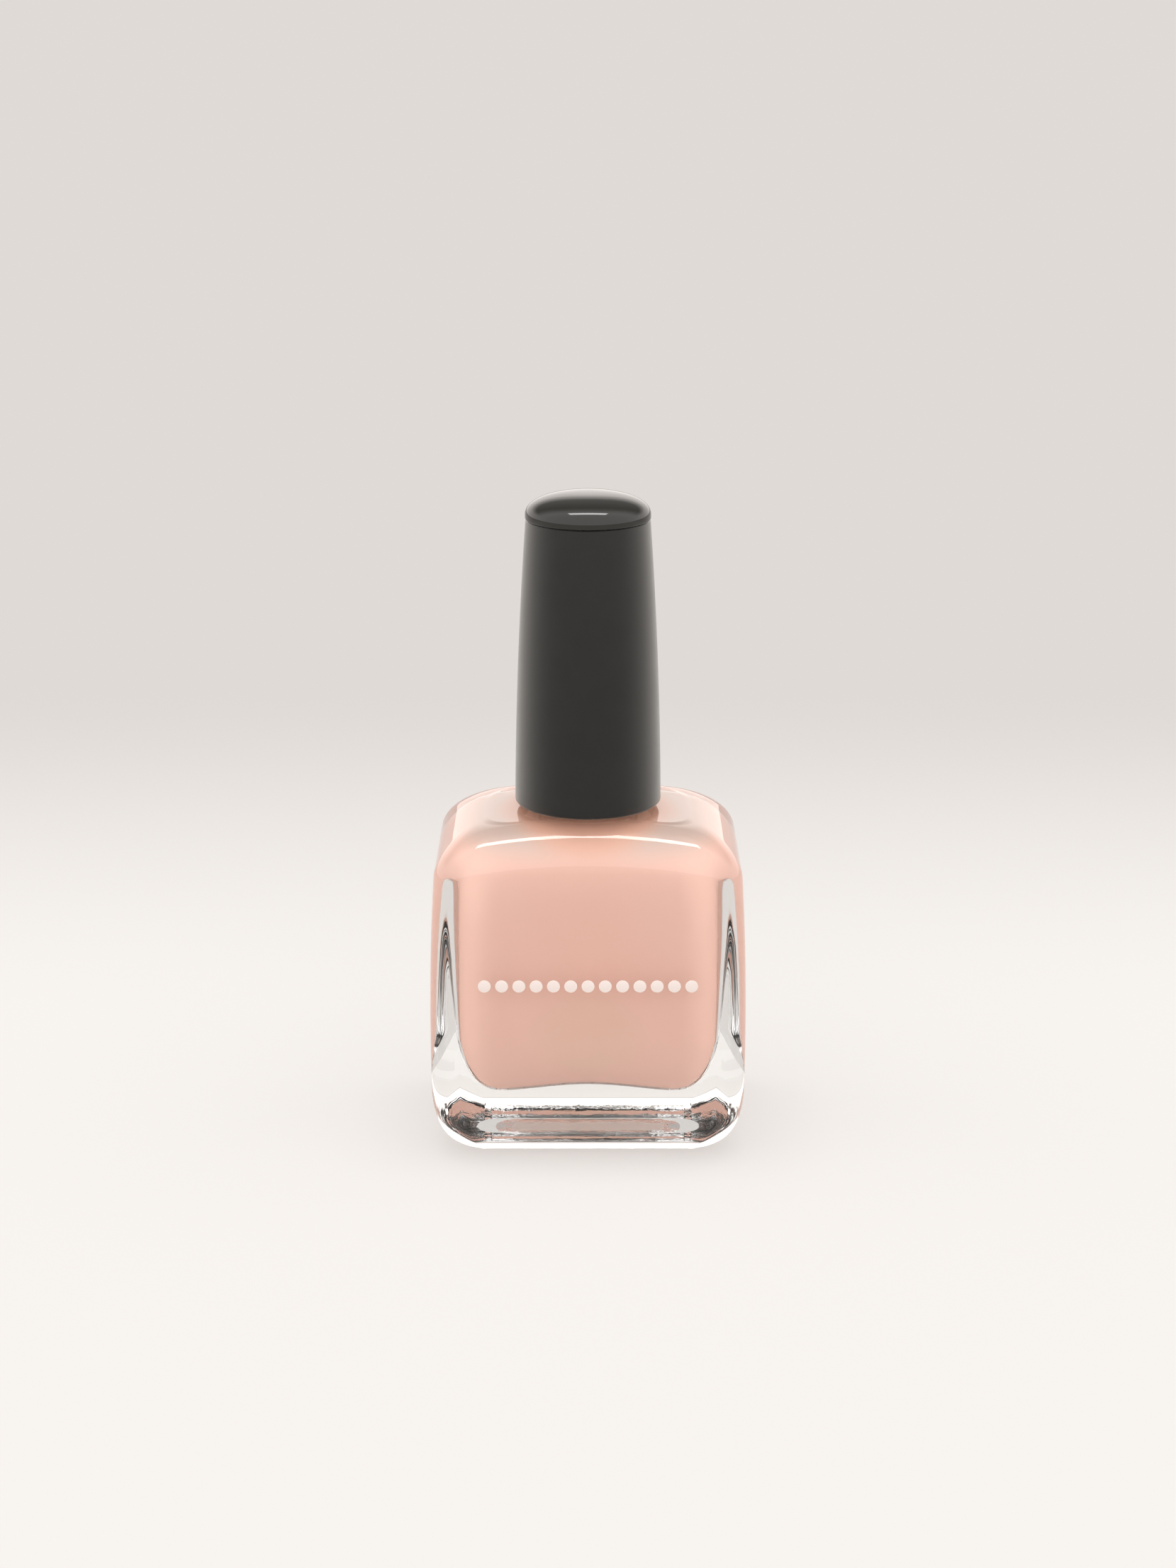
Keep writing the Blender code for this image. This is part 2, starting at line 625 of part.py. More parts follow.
def make_tuft():
    """Bristle tuft: filaments folded over the staple in the socket and trimmed to a rounded tip."""
    finish = material("bristle_nylon", (0.09, 0.08, 0.075), 0.5)
    root_top = STEM_BOTTOM + STEM_SOCKET_DEPTH - TUFT_ROOT_GAP
    profile = [(0, root_top), (TUFT_ROOT_RADIUS - TUFT_ROOT_CHAMFER, root_top),
               (TUFT_ROOT_RADIUS, root_top - TUFT_ROOT_CHAMFER),
               (TUFT_ROOT_RADIUS, STEM_BOTTOM - TUFT_ROOT_END)]
    tip = TUFT_WIDEST_HEIGHT - TUFT_TIP
    profile.append(((TUFT_ROOT_RADIUS + TUFT_WIDEST_RADIUS) / 2, (STEM_BOTTOM + TUFT_WIDEST_HEIGHT) / 2))
    for angle in quarter_turns(3)[:-1]:
        profile.append((TUFT_WIDEST_RADIUS * math.cos(angle), TUFT_WIDEST_HEIGHT - tip * math.sin(angle)))
    profile.append((0, TUFT_TIP))
    tuft = turned("bristle_tuft", profile, STEM_SEGMENTS, finish)
    cut(tuft, box("staple_slot_cutter", STAPLE_SLOT, finish))
    return tuft


def box(name, size, finish):
    bm = bmesh.new()
    bmesh.ops.create_cube(bm, size=1.0, matrix=Matrix.Diagonal((*size, 1.0)))
    made = new_object(name, bm, finish)
    made.location = (0, 0, STAPLE_HEIGHT)
    return made


def make_staple():
    """Flat wire staple that anchors the folded filaments in the stem."""
    finish = material("staple_steel", (0.60, 0.60, 0.60), 0.3, metallic=1.0)
    return box("brush_staple", STAPLE_SIZE, finish)


# ---------------------------------------------------------------- assembly


def clear_scene():
    for old in list(bpy.data.objects):
        bpy.data.objects.remove(old, do_unlink=True)


def main():
    clear_scene()
    make_bottle()
    make_lacquer()
    make_balls()
    make_label()
    make_sleeve()
    make_dome()
    make_closure()
    make_seal()
    make_stem()
    make_tuft()
    make_staple()


main()
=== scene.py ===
"""Looks of the nail polish bottle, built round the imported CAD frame.

Each visible piece is made again here at a finer resolution than its CAD node, from the same sizes
but for the cavity, and gets a procedural material. Units are metres, +Z is up, and the front of the bottle looks
along -Y.
"""

import math
import random

import bmesh
import bpy
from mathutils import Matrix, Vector, noise


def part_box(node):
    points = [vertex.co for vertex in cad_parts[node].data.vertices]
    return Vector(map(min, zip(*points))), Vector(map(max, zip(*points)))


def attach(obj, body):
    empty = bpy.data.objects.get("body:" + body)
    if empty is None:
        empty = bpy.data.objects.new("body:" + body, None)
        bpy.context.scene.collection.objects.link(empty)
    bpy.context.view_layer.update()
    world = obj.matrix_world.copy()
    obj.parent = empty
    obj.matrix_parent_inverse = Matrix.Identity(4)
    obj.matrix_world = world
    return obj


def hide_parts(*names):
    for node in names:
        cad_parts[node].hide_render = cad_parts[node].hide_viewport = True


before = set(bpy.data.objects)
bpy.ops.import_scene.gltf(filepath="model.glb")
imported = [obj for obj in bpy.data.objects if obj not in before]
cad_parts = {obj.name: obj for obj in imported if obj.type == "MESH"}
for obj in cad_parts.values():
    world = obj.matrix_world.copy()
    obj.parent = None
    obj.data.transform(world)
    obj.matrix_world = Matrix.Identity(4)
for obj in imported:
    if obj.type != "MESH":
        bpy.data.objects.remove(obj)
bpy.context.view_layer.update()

MM = 0.001

# ---------------------------------------------------------------- sizes, the CAD's but for the cavity

glass_low, glass_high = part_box("glass_bottle")
sleeve_low, sleeve_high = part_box("overcap_sleeve")
dome_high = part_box("overcap_dome")[1]
closure_low, closure_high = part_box("screw_closure")
stem_low, stem_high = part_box("brush_stem")
seal_low, seal_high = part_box("seal_washer")
tuft_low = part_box("bristle_tuft")[0]
liquid_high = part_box("nail_lacquer")[1]
label_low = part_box("base_label")[0]

# Glass body, outside
BODY_WIDTH = glass_high.x - glass_low.x
BODY_DEPTH = glass_high.y - glass_low.y
BODY_CORNER = 3.4 * MM
SHOULDER_HEIGHT = 39.0 * MM
SHOULDER_DROP = 6.3
SHOULDER_EDGE = Vector((5.4, 4.15)) * MM
BASE_SIDE_EDGE = Vector((4.4, 7.6)) * MM
BASE_FRONT_EDGE = Vector((4.2, 4.6)) * MM
WALL_BOW = 0.64 * MM
WIDEST_HEIGHT = 13.8 * MM
BASE_RECESS_INSET = 2.2 * MM
BASE_RECESS_DEPTH = 0.5 * MM

# Glass body, inside: shaped by the clear bands beside the liquid, at most 0.33 mm off the CAD's
CAVITY_FLOOR = 6.9 * MM
CAVITY_PUSH_UP = 0.8 * MM
CAVITY_PUSH_UP_HALF = 11.0 * MM
CAVITY_HALF = Vector((14.85, 9.7)) * MM
CAVITY_CORNER = 4.5 * MM
CAVITY_FLARE = 0.018
CAVITY_FLARE_MIDDLE = 24.0 * MM
CAVITY_LOW_EDGE = Vector((5.0, 7.0)) * MM
CAVITY_TOP_EDGE = Vector((4.2, 3.4)) * MM
CAVITY_ROOF_THICKNESS = 2.0 * MM

# Neck and its thread
NECK_RADIUS = 5.4 * MM
NECK_BORE = 3.4 * MM
NECK_RIM = glass_high.z
NECK_FILLET = 0.8 * MM
RIM_ROUND = 0.35 * MM
THREAD_PITCH = 3.0 * MM
THREAD_TURNS = 1.5
THREAD_HEIGHT = 0.6 * MM
THREAD_WIDTH = 1.8 * MM
THREAD_START = 42.6 * MM
THREAD_FADE = 0.12
BEAD_RADIUS = 5.95 * MM
BEAD_HEIGHT = 40.5 * MM
BEAD_WIDTH = 1.2 * MM

# Liquid and agitator balls
LIQUID_LEVEL = liquid_high.z
LIQUID_OVERLAP = 0.03 * MM
BALL_RADIUS = 1.6 * MM
BALL_PITTING = 0.004 * MM
BALL_PITTING_SCALE = 900

# Painted into the lacquer's colour: painted shade in a patch low in front, painted light in a paler top zone,
# and the cap's painted shadow in a ring under the cap
PATCH_HALF_WIDTH = 6.5 * MM
PATCH_HALF_HEIGHT = 5.5 * MM
PATCH_MIDDLE = 15.0 * MM
PAINTED_TOP_LIGHT_FADE = (33.8 * MM, 36.2 * MM)
PAINTED_CAP_SHADOW_FADE = (8.0 * MM, 10.8 * MM)

# Indexes of refraction: light that grazes the liquid from inside the denser glass is mirrored
GLASS_IOR = 1.52
LIQUID_IOR = 1.44

# Relief of the glass: waves in the walls, the mould skin under the base and the knurl of its edge
GLASS_WAVES = 0.01 * MM
BASE_ROUGHNESS = 0.08 * MM
KNURL_PITCH = 1.3 * MM
KNURL_PLACE = 11.8 * MM
KNURL_HEIGHT = 0.06 * MM
KNURL_FADE = (0.3 * MM, 0.45 * MM)
MOULD_SKIN_FADE = (0.6 * MM, 1.6 * MM)

# Outer cap
CAP_BOTTOM = sleeve_low.z
SLEEVE_TOP = sleeve_high.z
SLEEVE_RADIUS_BOTTOM = 8.25 * MM
SLEEVE_RADIUS_TOP = 6.9 * MM
SLEEVE_BOW = 0.25 * MM
SLEEVE_WALL = 0.6 * MM
SLEEVE_LEDGE_WIDTH = 1.3 * MM
SLEEVE_EDGE = 0.35 * MM
SLEEVE_BREAK = 0.1 * MM
SLEEVE_FOOT_BREAK = 0.2 * MM
SLEEVE_LEDGE_GAP = 0.3 * MM
DOME_RADIUS = 6.97 * MM
DOME_WIDEST_HEIGHT = 71.95 * MM
DOME_POWER = 2.3
DOME_TOP = dome_high.z
DOME_GAP = 0.2 * MM
DOME_LIP_GAP = 0.06 * MM
DOME_LIP_ROUND = 0.15 * MM
DOME_PLUG_DEPTH = 4.0 * MM
DOME_WALL = 1.1 * MM

# Screw closure inside the outer cap
CLOSURE_BOTTOM = closure_low.z
CLOSURE_ROOF = 52.2 * MM
CLOSURE_TOP = 53.4 * MM
CLOSURE_BORE = 6.45 * MM
CLOSURE_THREAD_HEIGHT = 0.35 * MM
CLOSURE_GAP = 0.12 * MM
CLOSURE_RIB_COUNT = 12
CLOSURE_RIB_HEIGHT = 0.15 * MM
BOSS_RADIUS = 2.9 * MM
BOSS_TOP = closure_high.z
BOSS_BORE = 1.5 * MM
BOSS_FOOT = 0.9 * MM
BOSS_FILLET = 0.8 * MM
BOSS_EDGE = 0.25 * MM
BOSS_MOUTH_EDGE = 0.1 * MM

# Seal and brush
SEAL_BOTTOM = seal_low.z
SEAL_TOP = seal_high.z
SEAL_RADIUS = 5.2 * MM
SEAL_HOLE = 1.7 * MM
SEAL_BULGE = 0.08 * MM
SEAL_HOLE_BULGE = 0.05 * MM
SEAL_STEPS = 8
STEM_RADIUS = 1.35 * MM
STEM_TOP = stem_high.z
STEM_COLLAR_RADIUS = 2.8 * MM
STEM_COLLAR = (51.3 * MM, 51.9 * MM)
STEM_BOTTOM = stem_low.z
STEM_SOCKET_RADIUS = 1.05 * MM
STEM_SOCKET_DEPTH = 3.4 * MM
STEM_SLIM_SHARE = 0.9
STEM_TAPER = 4 * MM
STEM_PIN_SHARE = 0.8
STEM_PIN_EDGE = 0.4 * MM
STEM_TIP_ROUND = 0.15 * MM
TUFT_ROOT_RADIUS = 0.95 * MM
TUFT_WIDEST_RADIUS = 1.75 * MM
TUFT_WIDEST_HEIGHT = 11.6 * MM
TUFT_TIP = tuft_low.z
TUFT_NECK = STEM_BOTTOM - 0.4 * MM
TUFT_ROOT = STEM_BOTTOM + STEM_SOCKET_DEPTH - 0.3 * MM
FILAMENT_COUNT = 420
FILAMENT_RADIUS = 0.045 * MM
FILAMENT_SPREAD = 0.955
FILAMENT_TRIM = 0.12
FILAMENT_SWAY = 0.03
FILAMENT_STEPS = 9
FILAMENT_TIP_SHARE = 0.75
STAPLE_SIZE = Vector((0.3, 1.7, 0.8)) * MM
STAPLE_HEIGHT = 19.3 * MM

# Base label
LABEL_HALF = Vector((9.2, 4.0)) * MM
LABEL_CORNER = 1.5 * MM
LABEL_BITE = 0.02 * MM
LABEL_ROUNDING = 0.1
LABEL_MARGIN = (1.3 * MM, 1.2 * MM)

# Printed row of dots that stands in for the print on the front
DOT_COUNT = 13
DOT_RADIUS = 0.72 * MM
DOT_SPACING = 1.92 * MM
DOT_ROW_HEIGHT = 21.3 * MM
PRINT_THICKNESS = 0.03 * MM
DOT_SEGMENTS = 32

BODY_POINTS = (14, 26, 22)
LABEL_POINTS = (4, 8, 8)
STAPLE_POINTS = (2, 4, 2)
BODY_SEGMENTS = 4 * sum(BODY_POINTS)
ROUND_SEGMENTS = 128
CAP_SEGMENTS = 160
SEAL_SEGMENTS = 96
STEM_SEGMENTS = 48
SMALLEST_CORNER = 1.5 * MM

# ---------------------------------------------------------------- studio

LENS = 61.845
SENSOR = 36.0
CAMERA_PLACE = Vector((0.0, -0.2923, 0.1293))
CAMERA_PITCH = math.radians(16.81)
FLOOR_HALF = 60.0
# Painted light on the floor: its colour and its glow are brightest near the bottle and in front, a painted pool
# of light that also lifts the shade under the bottle.
FLOOR_NEAR = (0.228, 0.221, 0.214)
FLOOR_FAR = (0.180, 0.171, 0.166)
FLOOR_FADE = (0.03, 0.20)
FLOOR_PAINTED_GLOW = 2.34
BACKDROP = (1.75, 1.64, 1.57, 1.0)
CEILING = (0.42, 0.41, 0.40, 1.0)
ROOM_FRONT = (1.80, 1.77, 1.75, 1.0)
HORIZON_STOP = 0.30
CEILING_STOP = 0.50
FRONT_FADE = (0.60, 0.10)
LIGHT_DISTANCE = 80.0
LIGHT_COLOR = (1.0, 0.99, 0.975)
# Elevation, half width and half depth as seen from the bottle, and radiance
OVERHEAD = (math.radians(95), math.radians(18), math.radians(4.5), 10.0)


# ---------------------------------------------------------------- outlines and lofting


def circle(radius, height, segments=ROUND_SEGMENTS):
    """Points of one level circle, half a step off the X axis."""
    ring = []
    for step in range(segments):
        angle = math.tau * (step + 0.5) / segments
        ring.append(Vector((radius * math.cos(angle), radius * math.sin(angle), height)))
    return ring


def rounded_rectangle(half_x, half_y, corner, counts=BODY_POINTS):
    """Points of a rounded rectangle, anticlockwise from beside the +X axis.

    The counts are the points on half a side along Y, round one corner, and on half a side along X.
    """
    on_y, on_corner, on_x = counts
    straight_x = half_x - corner
    straight_y = half_y - corner
    quarter = [Vector((half_x, straight_y * (step + 0.5) / (on_y + 0.5))) for step in range(on_y)]
    for step in range(on_corner):
        turn = math.pi / 2 * step / (on_corner - 1)
        quarter.append(Vector((straight_x + corner * math.cos(turn), straight_y + corner * math.sin(turn))))
    quarter += [Vector((straight_x * (step + 0.5) / (on_x + 0.5), half_y)) for step in reversed(range(on_x))]
    upper = quarter + [Vector((-point.x, point.y)) for point in reversed(quarter)]
    return upper + [-point for point in upper]


def skin(bm, rings, closed=False):
    """Skin a row of rings in a mesh. A ring of one point is a pole; a closed row joins its ends."""
    loops = [[bm.verts.new(point) for point in ring] for ring in rings]
    pairs = list(zip(loops, loops[1:]))
    if closed:
        pairs.append((loops[-1], loops[0]))
    for lower, upper in pairs:
        count = max(len(lower), len(upper))
        for i in range(count):
            j = (i + 1) % count
            if len(lower) == 1:
                bm.faces.new((lower[0], upper[j], upper[i]))
            elif len(upper) == 1:
                bm.faces.new((lower[i], lower[j], upper[0]))
            else:
                bm.faces.new((lower[i], lower[j], upper[j], upper[i]))


def loft(name, rings, finish, closed=False):
    bm = bmesh.new()
    skin(bm, rings, closed)
    return new_object(name, bm, finish)


def turned(name, profile, finish, closed=False, segments=ROUND_SEGMENTS):
    """Turn a profile of (radius, height) points about Z. A zero radius is a pole."""
    rings = []
    for radius, height in profile:
        rings.append([Vector((0, 0, height))] if radius == 0 else circle(radius, height, segments))
    return loft(name, rings, finish, closed)


def new_object(name, bm, finish, sharp=35):
    bmesh.ops.recalc_face_normals(bm, faces=bm.faces)
    mesh = bpy.data.meshes.new(name)
    bm.to_mesh(mesh)
    bm.free()
    mesh.materials.append(finish)
    mesh.shade_smooth()
    mesh.set_sharp_from_angle(angle=math.radians(sharp))
    made = bpy.data.objects.new(name, mesh)
    bpy.context.scene.collection.objects.link(made)
    return made


def quarter_turns(steps):
    """Angles from 0 to 90 degrees, both ends included."""
    return [math.pi / 2 * step / steps for step in range(steps + 1)]


def shares(steps):
    """Numbers from 1/steps to 1."""
    return [step / steps for step in range(1, steps + 1)]


def arc_profile(center, radius, start, end, steps=8):
    """(radius, height) points of an arc in a turned profile, angles in degrees from +R towards +Z."""
    points = []
    for step in range(steps + 1):
        angle = math.radians(start + (end - start) * step / steps)
        points.append((center[0] + radius * math.cos(angle), center[1] + radius * math.sin(angle)))
    return points


# ---------------------------------------------------------------- node materials


class Finish:
    """A Principled material with a few helpers for procedural detail in object space."""

    def __init__(self, name, **constants):
        self.material = bpy.data.materials.new(name)
        self.material.use_nodes = True
        self.tree = self.material.node_tree
        self.shader = self.tree.nodes["Principled BSDF"]
        for socket, value in constants.items():
            self.shader.inputs[socket.replace("_", " ")].default_value = value
        self.coordinates = self.tree.nodes.new("ShaderNodeTexCoord").outputs["Object"]

    def node(self, kind, **settings):
        made = self.tree.nodes.new(kind)
        for key, value in settings.items():
            setattr(made, key, value)
        return made

    def link(self, source, target):
        self.tree.links.new(source, target)

    def stretched(self, scale):
        """Object coordinates scaled by a vector."""
        mapping = self.node("ShaderNodeMapping")
        mapping.inputs["Scale"].default_value = scale
        self.link(self.coordinates, mapping.inputs["Vector"])
        return mapping.outputs["Vector"]

    def noise(self, scale, detail=2.0, stretch=None, roughness=0.5):
        """Noise of a size given in features per metre."""
        made = self.node("ShaderNodeTexNoise")
        made.inputs["Scale"].default_value = scale
        made.inputs["Detail"].default_value = detail
        made.inputs["Roughness"].default_value = roughness
        self.link(self.stretched(stretch) if stretch else self.coordinates, made.inputs["Vector"])
        return made.outputs["Fac"]

    def cells(self, scale, feature="F1"):
        made = self.node("ShaderNodeTexVoronoi", feature=feature)
        made.inputs["Scale"].default_value = scale
        self.link(self.coordinates, made.inputs["Vector"])
        return made.outputs["Distance"]

    def axis(self, name):
        """One object coordinate, in metres."""
        split = self.node("ShaderNodeSeparateXYZ")
        self.link(self.coordinates, split.inputs["Vector"])
        return split.outputs[name]

    def near_axis(self, near, far):
        """1 near the bottle's axis, 0 further out than far."""
        x, y = self.axis("X"), self.axis("Y")
        square = self.math("ADD", self.math("MULTIPLY", x, x), self.math("MULTIPLY", y, y))
        return self.remap(self.math("POWER", square, 0.5), near, far, 1.0, 0.0)

    def remap(self, source, low, high, to_low, to_high, smooth=True):
        made = self.node("ShaderNodeMapRange", interpolation_type="SMOOTHSTEP" if smooth else "LINEAR")
        for socket, value in (("From Min", low), ("From Max", high), ("To Min", to_low), ("To Max", to_high)):
            made.inputs[socket].default_value = value
        self.link(source, made.inputs["Value"])
        return made.outputs["Result"]

    def math(self, operation, first, second):
        made = self.node("ShaderNodeMath", operation=operation)
        for socket, value in zip(made.inputs, (first, second)):
            if isinstance(value, (int, float)):
                socket.default_value = value
            else:
                self.link(value, socket)
        return made.outputs["Value"]

    def blend(self, factor, first, second):
        """Mix two colours, each a tuple or another node's output."""
        made = self.node("ShaderNodeMix", data_type="RGBA")
        self.link(factor, made.inputs["Factor"])
        colors = [socket for socket in made.inputs if socket.type == "RGBA"]
        for socket, value in zip(colors, (first, second)):
            if isinstance(value, tuple):
                socket.default_value = (*value, 1.0)
            else:
                self.link(value, socket)
        return next(socket for socket in made.outputs if socket.type == "RGBA")

    def color(self, source):
        self.link(source, self.shader.inputs["Base Color"])

    def add_mirror(self, ior):
        """Lay a clear mirror over the shader, as strong as the Fresnel share at this relative IOR."""
        share = self.node("ShaderNodeFresnel")
        share.inputs["IOR"].default_value = ior
        mirror = self.node("ShaderNodeBsdfGlossy")
        mirror.inputs["Roughness"].default_value = 0.0
        mix = self.node("ShaderNodeMixShader")
        self.link(share.outputs["Fac"], mix.inputs["Fac"])
        self.link(self.shader.outputs["BSDF"], mix.inputs[1])
        self.link(mirror.outputs["BSDF"], mix.inputs[2])
        output = next(node for node in self.tree.nodes if node.type == "OUTPUT_MATERIAL")
        self.link(mix.outputs["Shader"], output.inputs["Surface"])

    def roughness(self, source):
        self.link(source, self.shader.inputs["Roughness"])

    def bump(self, height, distance, strength=1.0):
        """Bump of a height given in metres."""
        made = self.node("ShaderNodeBump")
        made.inputs["Strength"].default_value = strength
        made.inputs["Distance"].default_value = distance
        self.link(height, made.inputs["Height"])
        self.link(made.outputs["Normal"], self.shader.inputs["Normal"])


def glass_finish():
    """Clear glass: slow waves in the walls, a rough mould skin under the base and its knurled ticks."""
    finish = Finish("clear_glass", Base_Color=(0.985, 0.985, 0.975, 1.0), Roughness=0.0, IOR=GLASS_IOR,
                    Transmission_Weight=1.0)
    waves = finish.math("MULTIPLY", finish.noise(260, 1.5), GLASS_WAVES / MM)
    low = finish.remap(finish.axis("Z"), *MOULD_SKIN_FADE, 1.0, 0.0)
    skin_height = finish.math("MULTIPLY", finish.noise(650, 4.0), BASE_ROUGHNESS / MM)
    ticks = finish.math("SINE", finish.math("MULTIPLY", finish.axis("Y"), math.tau / KNURL_PITCH), 0.0)
    side = finish.math("ABSOLUTE", finish.axis("X"), 0.0)
    across = finish.math("ABSOLUTE", finish.math("SUBTRACT", side, KNURL_PLACE), 0.0)
    knurl = finish.math("MULTIPLY", finish.remap(across, *KNURL_FADE, KNURL_HEIGHT / MM, 0.0), ticks)
    rough = finish.math("MULTIPLY", low, finish.math("ADD", skin_height, knurl))
    finish.bump(finish.math("ADD", waves, rough), MM)
    return finish.material


def lacquer_finish():
    """Opaque lacquer with a patch of painted shade, a paler top of painted light and the cap's painted shadow as
    a ring, mirrored where light grazes it.
    """
    finish = Finish("pink_lacquer", Roughness=0.5, Specular_IOR_Level=0.0)
    body = (0.95, 0.600, 0.500)
    # Painted shade: low in the middle of the front the pink turns a little darker and deeper than towards the
    # edges.
    painted_shade_pink = (0.90, 0.605, 0.480)
    drift = finish.remap(finish.noise(90, 3.0), 0.3, 0.7, 0.0, 1.0)
    tint = finish.blend(drift, body, (0.96, 0.615, 0.515))
    x = finish.math("MULTIPLY", finish.axis("X"), 1 / PATCH_HALF_WIDTH)
    above = finish.math("SUBTRACT", finish.axis("Z"), PATCH_MIDDLE)
    z = finish.math("MULTIPLY", above, 1 / PATCH_HALF_HEIGHT)
    spread = finish.math("ADD", finish.math("MULTIPLY", x, x), finish.math("MULTIPLY", z, z))
    patch = finish.remap(spread, 0.2, 1.3, 0.8, 0.0)
    # Painted light and shadow: towards the top the colour turns a paler, milkier pink, painted light on the
    # liquid's top, and near the axis a deeper orange, the cap's painted shadow.
    film_and_painted_top_light = finish.remap(finish.axis("Z"), *PAINTED_TOP_LIGHT_FADE, 0.0, 1.0)
    painted_top_light_and_cap_shadow = finish.blend(finish.near_axis(*PAINTED_CAP_SHADOW_FADE), (0.75, 0.575, 0.50), (0.88, 0.50, 0.37))
    finish.color(finish.blend(film_and_painted_top_light, finish.blend(patch, tint, painted_shade_pink), painted_top_light_and_cap_shadow))
    finish.add_mirror(LIQUID_IOR / GLASS_IOR)
    return finish.material


def satin_finish():
    finish = Finish("satin_black_plastic", Roughness=0.3, IOR=1.4)
    cloud = finish.noise(900, 3.0)
    # Painted reflection: the colour turns pale grey where the sleeve faces away from the view, a painted sheen
    # along its outline.
    facing = finish.node("ShaderNodeLayerWeight")
    facing.inputs["Blend"].default_value = 0.5
    edge = finish.math("POWER", facing.outputs["Facing"], 2.5)
    black = finish.blend(cloud, (0.0035, 0.0033, 0.0026), (0.0055, 0.0052, 0.0042))
    finish.color(finish.blend(edge, black, (0.32, 0.31, 0.29)))
    finish.roughness(finish.remap(finish.noise(350, 2.0), 0.3, 0.7, 0.30, 0.36))
    finish.bump(finish.noise(9000, 2.0), 0.004 * MM, 0.5)
    return finish.material


def gloss_finish():
    finish = Finish("gloss_black_insert", Roughness=0.06, IOR=1.5)
    cloud = finish.noise(500, 2.0)
    finish.color(finish.blend(cloud, (0.004, 0.0035, 0.002), (0.008, 0.007, 0.004)))
    finish.roughness(finish.remap(finish.noise(700, 4.0), 0.4, 0.8, 0.04, 0.10))
    finish.bump(finish.noise(200, 1.0), 0.01 * MM, 0.3)
    return finish.material


def closure_finish():
    finish = Finish("natural_polypropylene", Roughness=0.45, Subsurface_Weight=0.2, Subsurface_Scale=0.6 * MM)
    cloud = finish.noise(700, 3.0)
    finish.color(finish.blend(cloud, (0.72, 0.70, 0.65), (0.80, 0.79, 0.75)))
    finish.roughness(finish.remap(cloud, 0.3, 0.7, 0.38, 0.52))
    finish.bump(finish.noise(6000, 2.0), 0.01 * MM, 0.5)
    return finish.material


def foam_finish():
    finish = Finish("seal_foam", Roughness=0.85)
    pores = finish.cells(5200)
    # Painted shade: the foam is darker down in its pores than on the walls between them.
    wall = finish.remap(pores, 0.0, 0.5, 0.0, 1.0)
    finish.color(finish.blend(wall, (0.66, 0.65, 0.61), (0.84, 0.83, 0.80)))
    finish.bump(pores, 0.05 * MM, 0.7)
    return finish.material


def coated(finish, bare, film_and_painted_top_light, low, high):
    """Colour that turns from a lacquer film to the bare part between two heights, with a ragged edge."""
    ragged = finish.math("MULTIPLY", finish.math("SUBTRACT", finish.noise(1500, 3.0), 0.5), 1.5 * MM)
    height = finish.math("ADD", finish.axis("Z"), ragged)
    return finish.blend(finish.remap(height, low, high, 0.0, 1.0), film_and_painted_top_light, bare)


def stem_finish():
    finish = Finish("stem_plastic", Roughness=0.35)
    grain = finish.noise(1200, 2.0, stretch=(1.0, 1.0, 0.1))
    bare = finish.blend(grain, (0.60, 0.59, 0.56), (0.74, 0.73, 0.70))
    film_and_painted_top_light = finish.blend(grain, (0.86, 0.52, 0.43), (0.90, 0.58, 0.48))
    finish.color(coated(finish, bare, film_and_painted_top_light, LIQUID_LEVEL, LIQUID_LEVEL + 2.0 * MM))
    finish.roughness(finish.remap(grain, 0.3, 0.7, 0.22, 0.42))
    finish.bump(grain, 0.02 * MM, 0.4)
    return finish.material


def bristle_finish():
    finish = Finish("bristle_nylon", Roughness=0.35)
    streak = finish.noise(4000, 2.0, stretch=(1.0, 1.0, 0.05))
    wet = finish.remap(streak, 0.42, 0.62, 0.0, 1.0)
    finish.color(finish.blend(wet, (0.30, 0.17, 0.14), (0.88, 0.55, 0.45)))
    finish.roughness(finish.remap(streak, 0.3, 0.7, 0.22, 0.45))
    return finish.material


def steel_finish(name, low, high):
    finish = Finish(name, Metallic=1.0)
    brushed = finish.noise(5000, 3.0, stretch=(1.0, 0.15, 1.0))
    finish.color(finish.blend(brushed, (0.52, 0.52, 0.53), (0.68, 0.67, 0.66)))
    finish.roughness(finish.remap(brushed, 0.3, 0.7, low, high))
    finish.bump(brushed, 0.004 * MM, 0.5)
    return finish.material


def print_finish():
    finish = Finish("white_ink", Roughness=0.4)
    grain = finish.noise(3500, 3.0)
    finish.color(finish.blend(grain, (0.64, 0.55, 0.51), (0.69, 0.60, 0.56)))
    finish.bump(grain, 0.008 * MM, 0.5)
    return finish.material


